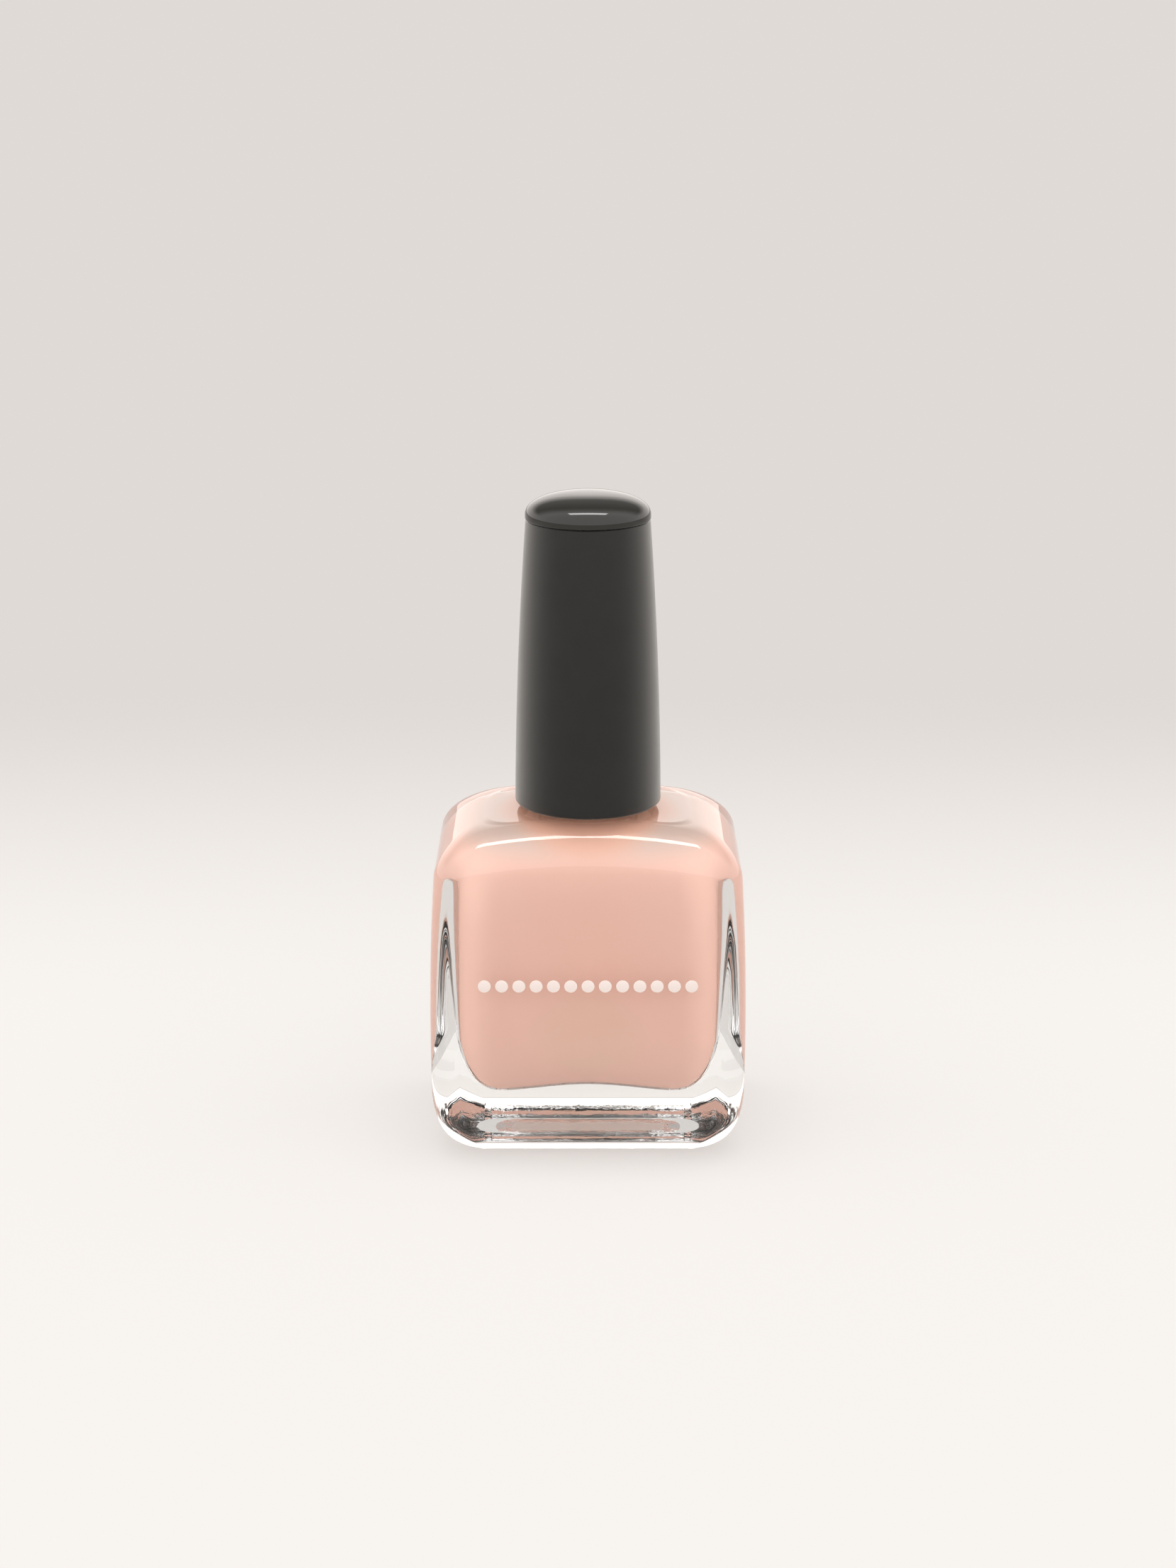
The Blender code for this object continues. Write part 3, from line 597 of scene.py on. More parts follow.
def label_finish():
    """White sticker with a plain margin and rows of plain dashes, which say nothing."""
    finish = Finish("sticker_paper", Roughness=0.55)
    dashes = finish.node("ShaderNodeTexBrick", offset=0.37, squash=1.0)
    for socket, value in (("Scale", 1 / MM), ("Mortar Size", 0.32), ("Mortar Smooth", 0.05),
                          ("Brick Width", 1.5), ("Row Height", 0.9), ("Bias", 0.0)):
        dashes.inputs[socket].default_value = value
    dashes.inputs["Color1"].default_value = (0.05, 0.045, 0.04, 1.0)
    dashes.inputs["Color2"].default_value = (0.30, 0.27, 0.25, 1.0)
    dashes.inputs["Mortar"].default_value = (0.82, 0.80, 0.77, 1.0)
    finish.link(finish.coordinates, dashes.inputs["Vector"])
    x = finish.math("ABSOLUTE", finish.axis("X"), 0.0)
    y = finish.math("ABSOLUTE", finish.axis("Y"), 0.0)
    wide, narrow = LABEL_MARGIN
    inside_x = finish.remap(x, LABEL_HALF.x - wide, LABEL_HALF.x - narrow, 1.0, 0.0)
    inside_y = finish.remap(y, LABEL_HALF.y - wide, LABEL_HALF.y - narrow, 1.0, 0.0)
    printed = finish.math("MULTIPLY", inside_x, inside_y)
    finish.color(finish.blend(printed, (0.82, 0.80, 0.77), dashes.outputs["Color"]))
    finish.bump(finish.noise(4000, 3.0), 0.01 * MM, 0.4)
    return finish.material


# ---------------------------------------------------------------- glass bottle


def shoulder_surface(x):
    """Height of the gently arched shoulder over a point at x from the middle."""
    return SHOULDER_HEIGHT - SHOULDER_DROP * x * x


def wall_inset(height):
    """How far the slightly bowed walls draw in at this height."""
    return WALL_BOW * ((height - WIDEST_HEIGHT) / (SHOULDER_HEIGHT / 2)) ** 2


def body_outline(inset_x, inset_y):
    """The body's outline, drawn in by an inset on the sides and one on the front and back."""
    return rounded_rectangle(BODY_WIDTH / 2 - inset_x, BODY_DEPTH / 2 - inset_y, BODY_CORNER)


def base_inset(edge, height):
    """How far a rounded bottom edge draws in at a height above the ground."""
    if height >= edge.y:
        return 0.0
    return edge.x * (1 - math.sqrt(1 - (1 - height / edge.y) ** 2))


def base_outline(inset, height):
    """The outline at a height on the rounded bottom edges and the bowed walls, drawn in further by inset."""
    inset += wall_inset(height)
    inset_x = base_inset(BASE_SIDE_EDGE, height) + inset
    inset_y = base_inset(BASE_FRONT_EDGE, height) + inset
    return body_outline(inset_x, inset_y)


def level_ring(outline, height):
    return [Vector((point.x, point.y, height)) for point in outline]


def bowed_ring(outline, height_of):
    """A ring at its own height at each point, drawn in by the bow of the walls there."""
    ring = []
    for point in outline:
        height = height_of(point)
        shrink = 1 - wall_inset(height) / (BODY_WIDTH / 2)
        ring.append(Vector((point.x * shrink, point.y * shrink, height)))
    return ring


def base_rings():
    """Underside: a shallow recess for the label, the flat bearing band and the rounded bottom edge."""
    rings = [[Vector((0, 0, BASE_RECESS_DEPTH))]]
    for inset, height in ((4 * MM, BASE_RECESS_DEPTH), (BASE_RECESS_INSET, BASE_RECESS_DEPTH),
                          (BASE_RECESS_INSET - BASE_RECESS_DEPTH, 0)):
        rings.append(level_ring(base_outline(inset, 0), height))
    for angle in quarter_turns(28):
        height = BASE_SIDE_EDGE.y * (1 - math.cos(angle))
        rings.append(level_ring(base_outline(0.0, height), height))
    return rings


def wall_rings():
    """Side walls, from the rounded bottom edge up to the arched shoulder edge."""
    rings = []
    for share in shares(28):
        def height_of(point, share=share):
            top = shoulder_surface(point.x) - SHOULDER_EDGE.y
            return BASE_SIDE_EDGE.y + (top - BASE_SIDE_EDGE.y) * share
        rings.append(bowed_ring(body_outline(0, 0), height_of))
    return rings


def shoulder_rings():
    """The rounded shoulder edge, then the arched top drawn in to the foot of the neck."""
    rings = []
    for angle in quarter_turns(20)[1:]:
        drop = SHOULDER_EDGE.y * (1 - math.sin(angle))
        inset = SHOULDER_EDGE.x * (1 - math.cos(angle))
        outline = body_outline(inset, inset)
        rings.append(bowed_ring(outline, lambda point, drop=drop: shoulder_surface(point.x) - drop))
    foot = circle(NECK_RADIUS + NECK_FILLET, 0, BODY_SEGMENTS)
    edge = rings[-1]
    for share in shares(18):
        ring = []
        for outer, inner in zip(edge, foot):
            point = outer.lerp(inner, share)
            ring.append(Vector((point.x, point.y, shoulder_surface(point.x))))
        rings.append(ring)
    return rings


def thread_bump(angle, height, start):
    """Height of a right-hand helical thread, 0 to 1, at an angle and a height on its cylinder."""
    turns_up = (height - start) / THREAD_PITCH - angle / math.tau
    pass_number = round(turns_up)
    distance = (turns_up - pass_number) * THREAD_PITCH
    position = pass_number + angle / math.tau
    ends = min(position, THREAD_TURNS - position) / THREAD_FADE
    if ends <= 0 or abs(distance) >= THREAD_WIDTH / 2:
        return 0.0
    return min(ends, 1.0) * math.cos(math.pi * distance / THREAD_WIDTH) ** 2


def threaded_rings(radius, height_out, start, bottom, top, segments, steps=56):
    """Rings of a cylinder that carries a thread standing out by height_out, inward if it is negative."""
    rings = []
    for step in range(steps + 1):
        level = bottom + (top - bottom) * step / steps
        ring = []
        for index, point in enumerate(circle(1, 0, segments)):
            angle = math.tau * (index + 0.5) / segments
            reach = radius + height_out * thread_bump(angle, level, start)
            ring.append(Vector((point.x * reach, point.y * reach, level)))
        rings.append(ring)
    return rings


def neck_rings():
    """The foot fillet, a bead, the thread, the rounded rim and the bore, down to the cavity roof."""
    rings = []
    foot = circle(1, 0, BODY_SEGMENTS)
    for angle in quarter_turns(6)[1:]:
        reach = NECK_RADIUS + NECK_FILLET * (1 - math.sin(angle))
        lift = NECK_FILLET * (1 - math.cos(angle))
        share = lift / NECK_FILLET
        ring = []
        for point in foot:
            height = shoulder_surface(point.x * reach) * (1 - share) + SHOULDER_HEIGHT * share + lift
            ring.append(Vector((point.x * reach, point.y * reach, height)))
        rings.append(ring)
    bulge = BEAD_RADIUS - NECK_RADIUS
    for step in range(9):
        lift = step / 8 - 0.5
        radius = NECK_RADIUS + bulge * math.cos(math.pi * lift)
        rings.append(circle(radius, BEAD_HEIGHT + lift * BEAD_WIDTH, BODY_SEGMENTS))
    thread_top = THREAD_START + (THREAD_TURNS + 0.5) * THREAD_PITCH
    rings += threaded_rings(NECK_RADIUS, THREAD_HEIGHT, THREAD_START,
                            THREAD_START - THREAD_WIDTH / 2, thread_top, BODY_SEGMENTS)
    rim = arc_profile((NECK_RADIUS - RIM_ROUND, NECK_RIM - RIM_ROUND), RIM_ROUND, 0, 90)
    rim += arc_profile((NECK_BORE + RIM_ROUND, NECK_RIM - RIM_ROUND), RIM_ROUND, 90, 180)
    rings += [circle(radius, height, BODY_SEGMENTS) for radius, height in rim]
    rings.append(circle(NECK_BORE, SHOULDER_HEIGHT - CAVITY_ROOF_THICKNESS + NECK_FILLET, BODY_SEGMENTS))
    return rings


def cavity_outline(inset, height):
    """The cavity's outline. Its walls keep the bow of the outer walls, and its sides lean out a little."""
    corner = max(CAVITY_CORNER - inset, SMALLEST_CORNER)
    inset += wall_inset(height)
    flare = (height - CAVITY_FLARE_MIDDLE) * CAVITY_FLARE
    return rounded_rectangle(CAVITY_HALF.x + flare - inset, CAVITY_HALF.y - inset, corner)


def cavity_roof(x):
    return shoulder_surface(x) - CAVITY_ROOF_THICKNESS


def push_up(x):
    """How far the floor rises at x: a low wave along the middle of the bottle."""
    share = min(abs(x) / CAVITY_PUSH_UP_HALF, 1.0)
    return CAVITY_PUSH_UP * (0.5 + 0.5 * math.cos(math.pi * share))


def cavity_roof_rings(gap):
    """Rings of the cavity's roof, from the foot of the bore out and round the edge to the walls."""
    rings = []
    roof_edge = SHOULDER_HEIGHT - CAVITY_ROOF_THICKNESS - CAVITY_TOP_EDGE.y
    edge = cavity_outline(CAVITY_TOP_EDGE.x + gap, roof_edge)
    foot = circle(NECK_BORE + NECK_FILLET, 0, BODY_SEGMENTS)
    for share in [0.0] + shares(12)[:-1]:
        ring = []
        for inner, outer in zip(foot, edge):
            point = inner.to_2d().lerp(outer, share)
            ring.append(Vector((point.x, point.y, cavity_roof(point.x) - gap)))
        rings.append(ring)
    for angle in reversed(quarter_turns(14)):
        drop = gap + CAVITY_TOP_EDGE.y * (1 - math.sin(angle))
        outline = cavity_outline(CAVITY_TOP_EDGE.x * (1 - math.cos(angle)) + gap, roof_edge)
        rings.append([Vector((point.x, point.y, cavity_roof(point.x) - drop)) for point in outline])
    return rings


def cavity_lower_rings(gap):
    """Rings of the cavity's walls and floor, down to the middle of the floor."""
    rings = []
    low_edge = CAVITY_FLOOR + CAVITY_LOW_EDGE.y
    roof_edge = SHOULDER_HEIGHT - CAVITY_ROOF_THICKNESS - CAVITY_TOP_EDGE.y
    for share in shares(16):
        ring = []
        for point in cavity_outline(gap, roof_edge + (low_edge - roof_edge) * share):
            high_edge = cavity_roof(point.x) - CAVITY_TOP_EDGE.y
            ring.append(Vector((point.x, point.y, high_edge + (low_edge - high_edge) * share)))
        rings.append(ring)
    for angle in quarter_turns(20)[1:]:
        ring = []
        for point in cavity_outline(CAVITY_LOW_EDGE.x * (1 - math.cos(angle)) + gap, low_edge):
            lift = CAVITY_LOW_EDGE.y * (1 - math.sin(angle)) + push_up(point.x) * math.sin(angle) ** 2
            ring.append(Vector((point.x, point.y, CAVITY_FLOOR + gap + lift)))
        rings.append(ring)
    middle = rings[-1]
    for share in reversed(shares(10)[:-1]):
        ring = []
        for point in middle:
            near = point.to_2d() * share
            ring.append(Vector((near.x, near.y, CAVITY_FLOOR + gap + push_up(near.x))))
        rings.append(ring)
    rings.append([Vector((0, 0, CAVITY_FLOOR + gap + CAVITY_PUSH_UP))])
    return rings


def make_glass():
    rings = base_rings() + wall_rings() + shoulder_rings() + neck_rings()
    rings += cavity_roof_rings(0.0) + cavity_lower_rings(0.0)
    return loft("bottle_glass", rings, glass_finish())


# ---------------------------------------------------------------- liquid and agitator balls


def place(piece, body, slot, *nodes):
    """Ride on a body and stand for CAD nodes. The slot is not used."""
    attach(piece, body)
    if nodes:
        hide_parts(*nodes)
    return piece


def make_lacquer():
    """The liquid fills the cavity and bites a little into the glass, so that no air gap shows."""
    roof = cavity_roof_rings(-LIQUID_OVERLAP)
    top = roof[0][0].z
    surface = [[Vector((0, 0, top))]]
    for share in shares(4)[:-1]:
        surface.append([Vector((point.x * share, point.y * share, top)) for point in roof[0]])
    return loft("lacquer_fill", surface + roof + cavity_lower_rings(-LIQUID_OVERLAP), lacquer_finish())


def make_balls():
    finish = steel_finish("agitator_steel", 0.12, 0.25)
    made = []
    for number in (1, 2):
        low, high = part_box(f"mixing_ball_{number}")
        center = (low + high) / 2
        bm = bmesh.new()
        bmesh.ops.create_icosphere(bm, subdivisions=5, radius=BALL_RADIUS)
        for vertex in bm.verts:
            pitting = noise.noise(vertex.co * BALL_PITTING_SCALE) * BALL_PITTING
            vertex.co += vertex.co.normalized() * pitting + center
        made.append(new_object(f"agitator_ball_{number}", bm, finish))
    return made


# ---------------------------------------------------------------- print and label


def front_surface(x, height):
    """Y of the bottle's front face at a place on it."""
    shrink = 1 - wall_inset(height) / (BODY_WIDTH / 2)
    flat = BODY_WIDTH / 2 - BODY_CORNER
    over = max(abs(x) / shrink - flat, 0.0)
    return -(BODY_DEPTH / 2 - BODY_CORNER + math.sqrt(BODY_CORNER ** 2 - over ** 2)) * shrink


def make_front_print():
    """A row of equal white dots on the front face, each a thin disc that follows the glass."""
    bm = bmesh.new()
    for index in range(DOT_COUNT):
        middle = (index - (DOT_COUNT - 1) / 2) * DOT_SPACING
        rings = []
        for inset, lift in ((0.0, -0.5), (0.0, 0.5), (0.06, 1.0)):
            ring = []
            for point in circle(DOT_RADIUS * (1 - inset), 0, DOT_SEGMENTS):
                x, height = middle + point.x, DOT_ROW_HEIGHT + point.y
                ring.append(Vector((x, front_surface(x, height) - lift * PRINT_THICKNESS, height)))
            rings.append(ring)
        back = Vector((middle, front_surface(middle, DOT_ROW_HEIGHT) + PRINT_THICKNESS / 2, DOT_ROW_HEIGHT))
        front = Vector((middle, front_surface(middle, DOT_ROW_HEIGHT) - PRINT_THICKNESS, DOT_ROW_HEIGHT))
        skin(bm, [[back]] + rings + [[front]])
    return new_object("front_dots", bm, print_finish())


def make_label():
    outline = rounded_rectangle(LABEL_HALF.x, LABEL_HALF.y, LABEL_CORNER, LABEL_POINTS)
    low, high = label_low.z, BASE_RECESS_DEPTH + LABEL_BITE
    rounding = (high - low) * LABEL_ROUNDING
    rings = [[Vector((0, 0, low))]]
    for inset, level in ((rounding, low), (0, low + rounding), (0, high - rounding), (rounding, high)):
        share = 1 - inset / LABEL_HALF.x
        rings.append([Vector((point.x * share, point.y * share, level)) for point in outline])
    rings.append([Vector((0, 0, high))])
    return loft("base_sticker", rings, label_finish())


# ---------------------------------------------------------------- outer cap


def sleeve_radius(height):
    """Outer radius of the sleeve: a straight taper with a slight bulge."""
    share = (height - CAP_BOTTOM) / (SLEEVE_TOP - CAP_BOTTOM)
    straight = SLEEVE_RADIUS_BOTTOM + (SLEEVE_RADIUS_TOP - SLEEVE_RADIUS_BOTTOM) * share
    return straight + 4 * SLEEVE_BOW * share * (1 - share)


def make_sleeve():
    """Satin outer sleeve. A ledge inside it stops the screw closure."""
    foot = sleeve_radius(CAP_BOTTOM)
    profile = arc_profile((foot - SLEEVE_EDGE, CAP_BOTTOM + SLEEVE_EDGE), SLEEVE_EDGE, -90, 0)[:-1]
    low = CAP_BOTTOM + SLEEVE_EDGE
    high = SLEEVE_TOP - SLEEVE_BREAK
    for share in [0.0] + shares(40):
        height = low + (high - low) * share
        profile.append((sleeve_radius(height), height))
    profile.append((sleeve_radius(SLEEVE_TOP) - SLEEVE_BREAK, SLEEVE_TOP))
    ledge = CLOSURE_TOP + SLEEVE_LEDGE_GAP
    inner = ((SLEEVE_TOP, SLEEVE_LEDGE_WIDTH), (ledge + 2 * SLEEVE_LEDGE_WIDTH, SLEEVE_LEDGE_WIDTH),
             (ledge, 2 * SLEEVE_LEDGE_WIDTH), (ledge, SLEEVE_WALL), ((ledge + CAP_BOTTOM) / 2, SLEEVE_WALL),
             (CAP_BOTTOM + SLEEVE_FOOT_BREAK, SLEEVE_WALL))
    for height, wall in inner:
        profile.append((sleeve_radius(height) - wall, height))
    profile.append((foot - SLEEVE_WALL + SLEEVE_BREAK, CAP_BOTTOM))
    return turned("cap_sleeve", profile, satin_finish(), closed=True, segments=CAP_SEGMENTS)


def make_dome():
    """Glossy domed insert: a full round top, a lip that closes on the sleeve, and a plug in its mouth."""
    rise = DOME_TOP - DOME_WIDEST_HEIGHT
    profile = [(0, DOME_TOP)]
    for angle in quarter_turns(40)[1:]:
        across = math.sin(angle) ** (2 / DOME_POWER)
        up = math.cos(angle) ** (2 / DOME_POWER)
        profile.append((DOME_RADIUS * across, DOME_WIDEST_HEIGHT + rise * max(up, 0.0)))
    lip = SLEEVE_TOP + DOME_LIP_GAP
    profile += arc_profile((DOME_RADIUS - DOME_LIP_ROUND, lip + DOME_LIP_ROUND), DOME_LIP_ROUND, 0, -90, 5)
    mouth = sleeve_radius(SLEEVE_TOP) - SLEEVE_LEDGE_WIDTH
    profile += [(mouth - DOME_GAP, lip), (mouth - DOME_GAP, SLEEVE_TOP - DOME_PLUG_DEPTH),
                (mouth - DOME_GAP - DOME_WALL, SLEEVE_TOP - DOME_PLUG_DEPTH),
                (mouth - DOME_GAP - DOME_WALL, lip), (0, lip)]
    return turned("cap_dome", profile, gloss_finish(), segments=CAP_SEGMENTS)


# ---------------------------------------------------------------- screw closure


def closure_outside(height, segments):
    """One ring of the closure's outside, with rounded grooves between its grip ribs."""
    ring = []
    for index, point in enumerate(circle(1, 0, segments)):
        wave = math.cos(math.tau * CLOSURE_RIB_COUNT * index / segments)
        groove = CLOSURE_RIB_HEIGHT * (0.5 - 0.5 * max(-1.0, min(1.0, wave * 3)))
        reach = sleeve_radius(height) - SLEEVE_WALL - CLOSURE_GAP - groove
        ring.append(Vector((point.x * reach, point.y * reach, height)))
    return ring


def make_closure():
    """Screw closure: threaded skirt, roof, and a boss that grips the top of the brush stem."""
    segments = CAP_SEGMENTS
    rings = []
    for share in [0.0] + shares(12):
        rings.append(closure_outside(CLOSURE_BOTTOM + (CLOSURE_TOP - CLOSURE_BOTTOM) * share, segments))
    boss = [(BOSS_RADIUS + BOSS_FOOT, CLOSURE_TOP)]
    boss += arc_profile((BOSS_RADIUS + BOSS_FOOT, CLOSURE_TOP + BOSS_FILLET), BOSS_FILLET, 270, 180)
    boss += [(BOSS_RADIUS, BOSS_TOP - BOSS_EDGE), (BOSS_RADIUS - BOSS_EDGE, BOSS_TOP),
             (BOSS_BORE + BOSS_MOUTH_EDGE, BOSS_TOP), (BOSS_BORE, BOSS_TOP - BOSS_MOUTH_EDGE),
             (BOSS_BORE, CLOSURE_ROOF), (CLOSURE_BORE, CLOSURE_ROOF)]
    rings += [circle(radius, height, segments) for radius, height in boss]
    start = THREAD_START - THREAD_PITCH / 2
    thread_top = start + (THREAD_TURNS + 0.5) * THREAD_PITCH
    rings += threaded_rings(CLOSURE_BORE, -CLOSURE_THREAD_HEIGHT, start, thread_top, CLOSURE_BOTTOM, segments)
    return loft("closure_shell", rings, closure_finish(), closed=True)


# ---------------------------------------------------------------- seal and brush


def make_seal():
    """Foam washer pressed on the rim of the neck, with a slight bulge between its faces."""
    profile = []
    thickness = SEAL_TOP - SEAL_BOTTOM
    for step in range(SEAL_STEPS + 1):
        height = SEAL_TOP - thickness * step / SEAL_STEPS
        bulge = SEAL_BULGE * (1 - (2 * step / SEAL_STEPS - 1) ** 2)
        profile.append((SEAL_RADIUS - SEAL_BULGE + bulge, height))
    for step in range(SEAL_STEPS + 1):
        height = SEAL_BOTTOM + thickness * step / SEAL_STEPS
        bulge = SEAL_HOLE_BULGE * (1 - (2 * step / SEAL_STEPS - 1) ** 2)
        profile.append((SEAL_HOLE + SEAL_HOLE_BULGE - bulge, height))
    return turned("seal_ring", profile, foam_finish(), closed=True, segments=SEAL_SEGMENTS)


def make_stem():
    """Brush stem: pin and collar held by the closure, a slim rod, and a socket for the bristles."""
    collar_bottom, collar_top = STEM_COLLAR
    slim = STEM_RADIUS * STEM_SLIM_SHARE
    socket_top = STEM_BOTTOM + STEM_SOCKET_DEPTH
    profile = [(0, STEM_TOP), (STEM_RADIUS * STEM_PIN_SHARE, STEM_TOP), (STEM_RADIUS, STEM_TOP - STEM_PIN_EDGE),
               (STEM_RADIUS, collar_top), (STEM_COLLAR_RADIUS, collar_top),
               (STEM_COLLAR_RADIUS, collar_bottom), (STEM_RADIUS, collar_bottom)]
    for share in shares(8):
        ease = share * share * (3 - 2 * share)
        profile.append((STEM_RADIUS + (slim - STEM_RADIUS) * ease, collar_bottom - STEM_TAPER * share))
    for share in [0.0] + shares(8):
        ease = share * share * (3 - 2 * share)
        profile.append((slim + (STEM_RADIUS - slim) * ease, socket_top + STEM_TAPER * (1 - share)))
    tip_middle = (STEM_RADIUS - STEM_TIP_ROUND, STEM_BOTTOM + STEM_TIP_ROUND)
    profile += arc_profile(tip_middle, STEM_TIP_ROUND, 0, -90)
    profile += [(STEM_SOCKET_RADIUS, STEM_BOTTOM), (STEM_SOCKET_RADIUS, socket_top), (0, socket_top)]
    return turned("brush_rod", profile, stem_finish(), segments=STEM_SEGMENTS)


def tuft_radius(height):
    """Half width of the tuft at a height: narrow at the root, widest near the tip, rounded off below."""
    if height >= TUFT_NECK:
        return TUFT_ROOT_RADIUS
    if height >= TUFT_WIDEST_HEIGHT:
        share = (TUFT_NECK - height) / (TUFT_NECK - TUFT_WIDEST_HEIGHT)
        return TUFT_ROOT_RADIUS + (TUFT_WIDEST_RADIUS - TUFT_ROOT_RADIUS) * share ** 1.2
    share = (TUFT_WIDEST_HEIGHT - height) / (TUFT_WIDEST_HEIGHT - TUFT_TIP)
    return TUFT_WIDEST_RADIUS * math.sqrt(max(1 - share * share, 0.0))


def make_tuft():
    """Some four hundred filaments, fanned from the socket and trimmed to a rounded tip."""
    draw = random.Random(7)
    bm = bmesh.new()
    for index in range(FILAMENT_COUNT):
        spread = math.sqrt((index + 0.5) / FILAMENT_COUNT) * FILAMENT_SPREAD
        turn = index * math.pi * (3 - math.sqrt(5))
        tip = TUFT_WIDEST_HEIGHT - (TUFT_WIDEST_HEIGHT - TUFT_TIP) * math.sqrt(1 - spread * spread)
        tip += draw.uniform(0.0, FILAMENT_TRIM) * MM
        sway = draw.uniform(-FILAMENT_SWAY, FILAMENT_SWAY)
        rings = []
        for step in range(FILAMENT_STEPS + 1):
            height = TUFT_ROOT + (tip - TUFT_ROOT) * step / FILAMENT_STEPS
            reach = (tuft_radius(max(height, TUFT_WIDEST_HEIGHT)) - FILAMENT_RADIUS) * spread
            angle = turn + sway * step / FILAMENT_STEPS
            middle = Vector((reach * math.cos(angle), reach * math.sin(angle), height))
            if abs(middle.x) < STAPLE_SIZE.x and abs(height - STAPLE_HEIGHT) < STAPLE_SIZE.z:
                middle.x = math.copysign(STAPLE_SIZE.x, middle.x or 1.0)
            thin = FILAMENT_RADIUS * (1.0 if step < FILAMENT_STEPS - 1 else FILAMENT_TIP_SHARE)
            rings.append([middle + point for point in circle(thin, 0, 5)])
        root = rings[0][0].lerp(rings[0][2], 0.5)
        end = Vector((middle.x, middle.y, tip - FILAMENT_RADIUS / 2))
        skin(bm, [[root]] + rings + [[end]])
    return new_object("brush_filaments", bm, bristle_finish(), sharp=60)


def make_staple():
    """Flat wire with rounded edges, across the fold of the filaments."""
    bm = bmesh.new()
    half = STAPLE_SIZE / 2
    outline = rounded_rectangle(half.x, half.z, 0.1 * MM, STAPLE_POINTS)
    rings = []
    for end, shrink in ((-1.0, 0.6), (-0.96, 0.9), (-0.9, 1.0), (0.9, 1.0), (0.96, 0.9), (1.0, 0.6)):
        rings.append([Vector((point.x * shrink, half.y * end, STAPLE_HEIGHT + point.y * shrink))
                      for point in outline])
    first = Vector((0, -half.y, STAPLE_HEIGHT))
    last = Vector((0, half.y, STAPLE_HEIGHT))
    skin(bm, [[first]] + rings + [[last]])
    return new_object("staple_wire", bm, steel_finish("staple_steel", 0.25, 0.4))


# ---------------------------------------------------------------- studio


def make_camera():
    data = bpy.data.cameras.new("photo_camera")
    data.lens = LENS
    data.sensor_width = SENSOR
    data.clip_start = 0.01
    data.clip_end = 200.0
    camera = bpy.data.objects.new("photo_camera", data)
    camera.location = CAMERA_PLACE
    camera.rotation_euler = (math.pi / 2 - CAMERA_PITCH, 0, 0)
    bpy.context.scene.collection.objects.link(camera)
    bpy.context.scene.camera = camera


def make_floor():
    """One wide pale table that glows with its own colour, painted light that stands in for light from below,
    brightest round the bottle and in front of it.
    """
    finish = Finish("studio_floor", Roughness=0.9, Specular_IOR_Level=0.0)
    far = finish.remap(finish.axis("Y"), *FLOOR_FADE, 0.0, 1.0)
    painted_floor_light = finish.blend(far, FLOOR_NEAR, FLOOR_FAR)
    finish.color(painted_floor_light)
    finish.link(painted_floor_light, finish.shader.inputs["Emission Color"])
    finish.shader.inputs["Emission Strength"].default_value = FLOOR_PAINTED_GLOW
    bm = bmesh.new()
    bmesh.ops.create_grid(bm, x_segments=24, y_segments=24, size=FLOOR_HALF)
    floor = new_object("studio_floor", bm, finish.material)


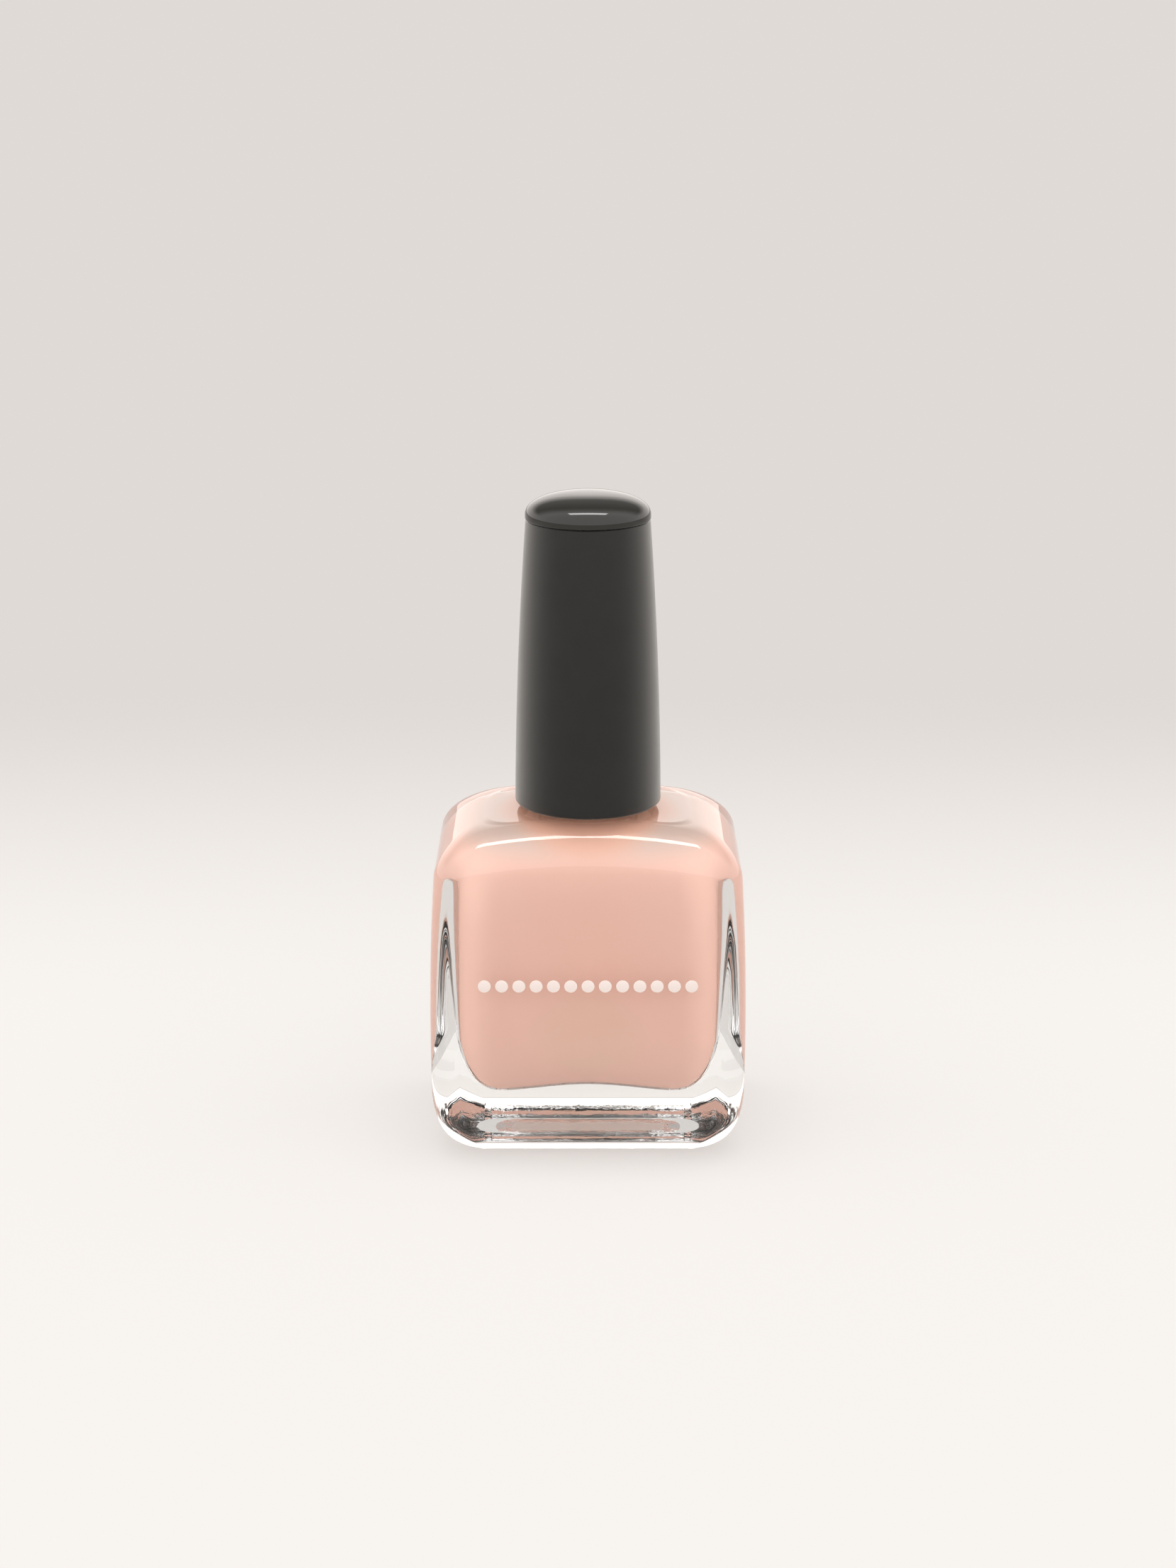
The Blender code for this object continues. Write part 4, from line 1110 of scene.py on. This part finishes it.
def make_world():
    """Studio light: white in front and at the sides, a pale horizon and a dimmer ceiling behind."""
    world = bpy.data.worlds.new("studio")
    world.use_nodes = True
    tree = world.node_tree
    background = tree.nodes["Background"]
    direction = tree.nodes.new("ShaderNodeTexCoord")
    split = tree.nodes.new("ShaderNodeSeparateXYZ")
    tree.links.new(direction.outputs["Generated"], split.inputs["Vector"])
    ramp = tree.nodes.new("ShaderNodeValToRGB")
    tree.links.new(split.outputs["Z"], ramp.inputs["Fac"])
    stops = ramp.color_ramp.elements
    stops[0].position, stops[0].color = HORIZON_STOP, BACKDROP
    stops[1].position, stops[1].color = CEILING_STOP, CEILING
    toward_front = tree.nodes.new("ShaderNodeMapRange")
    toward_front.interpolation_type = "SMOOTHSTEP"
    behind, front = FRONT_FADE
    for socket, value in (("From Min", behind), ("From Max", front), ("To Min", 0.0), ("To Max", 1.0)):
        toward_front.inputs[socket].default_value = value
    tree.links.new(split.outputs["Y"], toward_front.inputs["Value"])
    mix = tree.nodes.new("ShaderNodeMix")
    mix.data_type = "RGBA"
    colors = [socket for socket in mix.inputs if socket.type == "RGBA"]
    tree.links.new(toward_front.outputs["Result"], mix.inputs["Factor"])
    tree.links.new(ramp.outputs["Color"], colors[0])
    colors[1].default_value = ROOM_FRONT
    mixed = next(socket for socket in mix.outputs if socket.type == "RGBA")
    tree.links.new(mixed, background.inputs["Color"])
    background.inputs["Strength"].default_value = 1.0
    bpy.context.scene.world = world


def make_softbox(name, elevation, half_width, half_depth, radiance):
    """A big soft light nearly overhead, far enough away to light the whole floor alike."""
    data = bpy.data.lights.new(name, "AREA")
    data.shape = "RECTANGLE"
    data.size = 2 * LIGHT_DISTANCE * math.tan(half_width)
    data.size_y = 2 * LIGHT_DISTANCE * math.tan(half_depth)
    data.energy = radiance * math.pi * data.size * data.size_y
    data.color = LIGHT_COLOR
    lamp = bpy.data.objects.new(name, data)
    lamp.rotation_euler = (math.pi / 2 - elevation, 0, 0)
    lamp.location = Vector((0, -math.cos(elevation), math.sin(elevation))) * LIGHT_DISTANCE
    lamp.visible_camera = False
    bpy.context.scene.collection.objects.link(lamp)


def main():
    place(make_glass(), "bottle", "glass", "glass_bottle")
    place(make_lacquer(), "bottle", "lacquer", "nail_lacquer")
    for number, ball in enumerate(make_balls(), 1):
        place(ball, f"ball_{number}", "ball_steel", f"mixing_ball_{number}")
    place(make_front_print(), "bottle", "label")
    place(make_label(), "bottle", "label", "base_label")
    place(make_sleeve(), "cap", "satin_black", "overcap_sleeve")
    place(make_dome(), "cap", "gloss_black", "overcap_dome")
    place(make_closure(), "cap", "closure_plastic", "screw_closure")
    place(make_seal(), "seal", "seal_foam", "seal_washer")
    place(make_stem(), "cap", "stem_plastic", "brush_stem")
    place(make_tuft(), "cap", "bristles", "bristle_tuft")
    place(make_staple(), "cap", "staple_steel", "brush_staple")

    make_camera()
    make_floor()
    make_world()
    make_softbox("overhead_softbox", *OVERHEAD)
    bpy.context.scene.view_settings.view_transform = "Standard"


main()
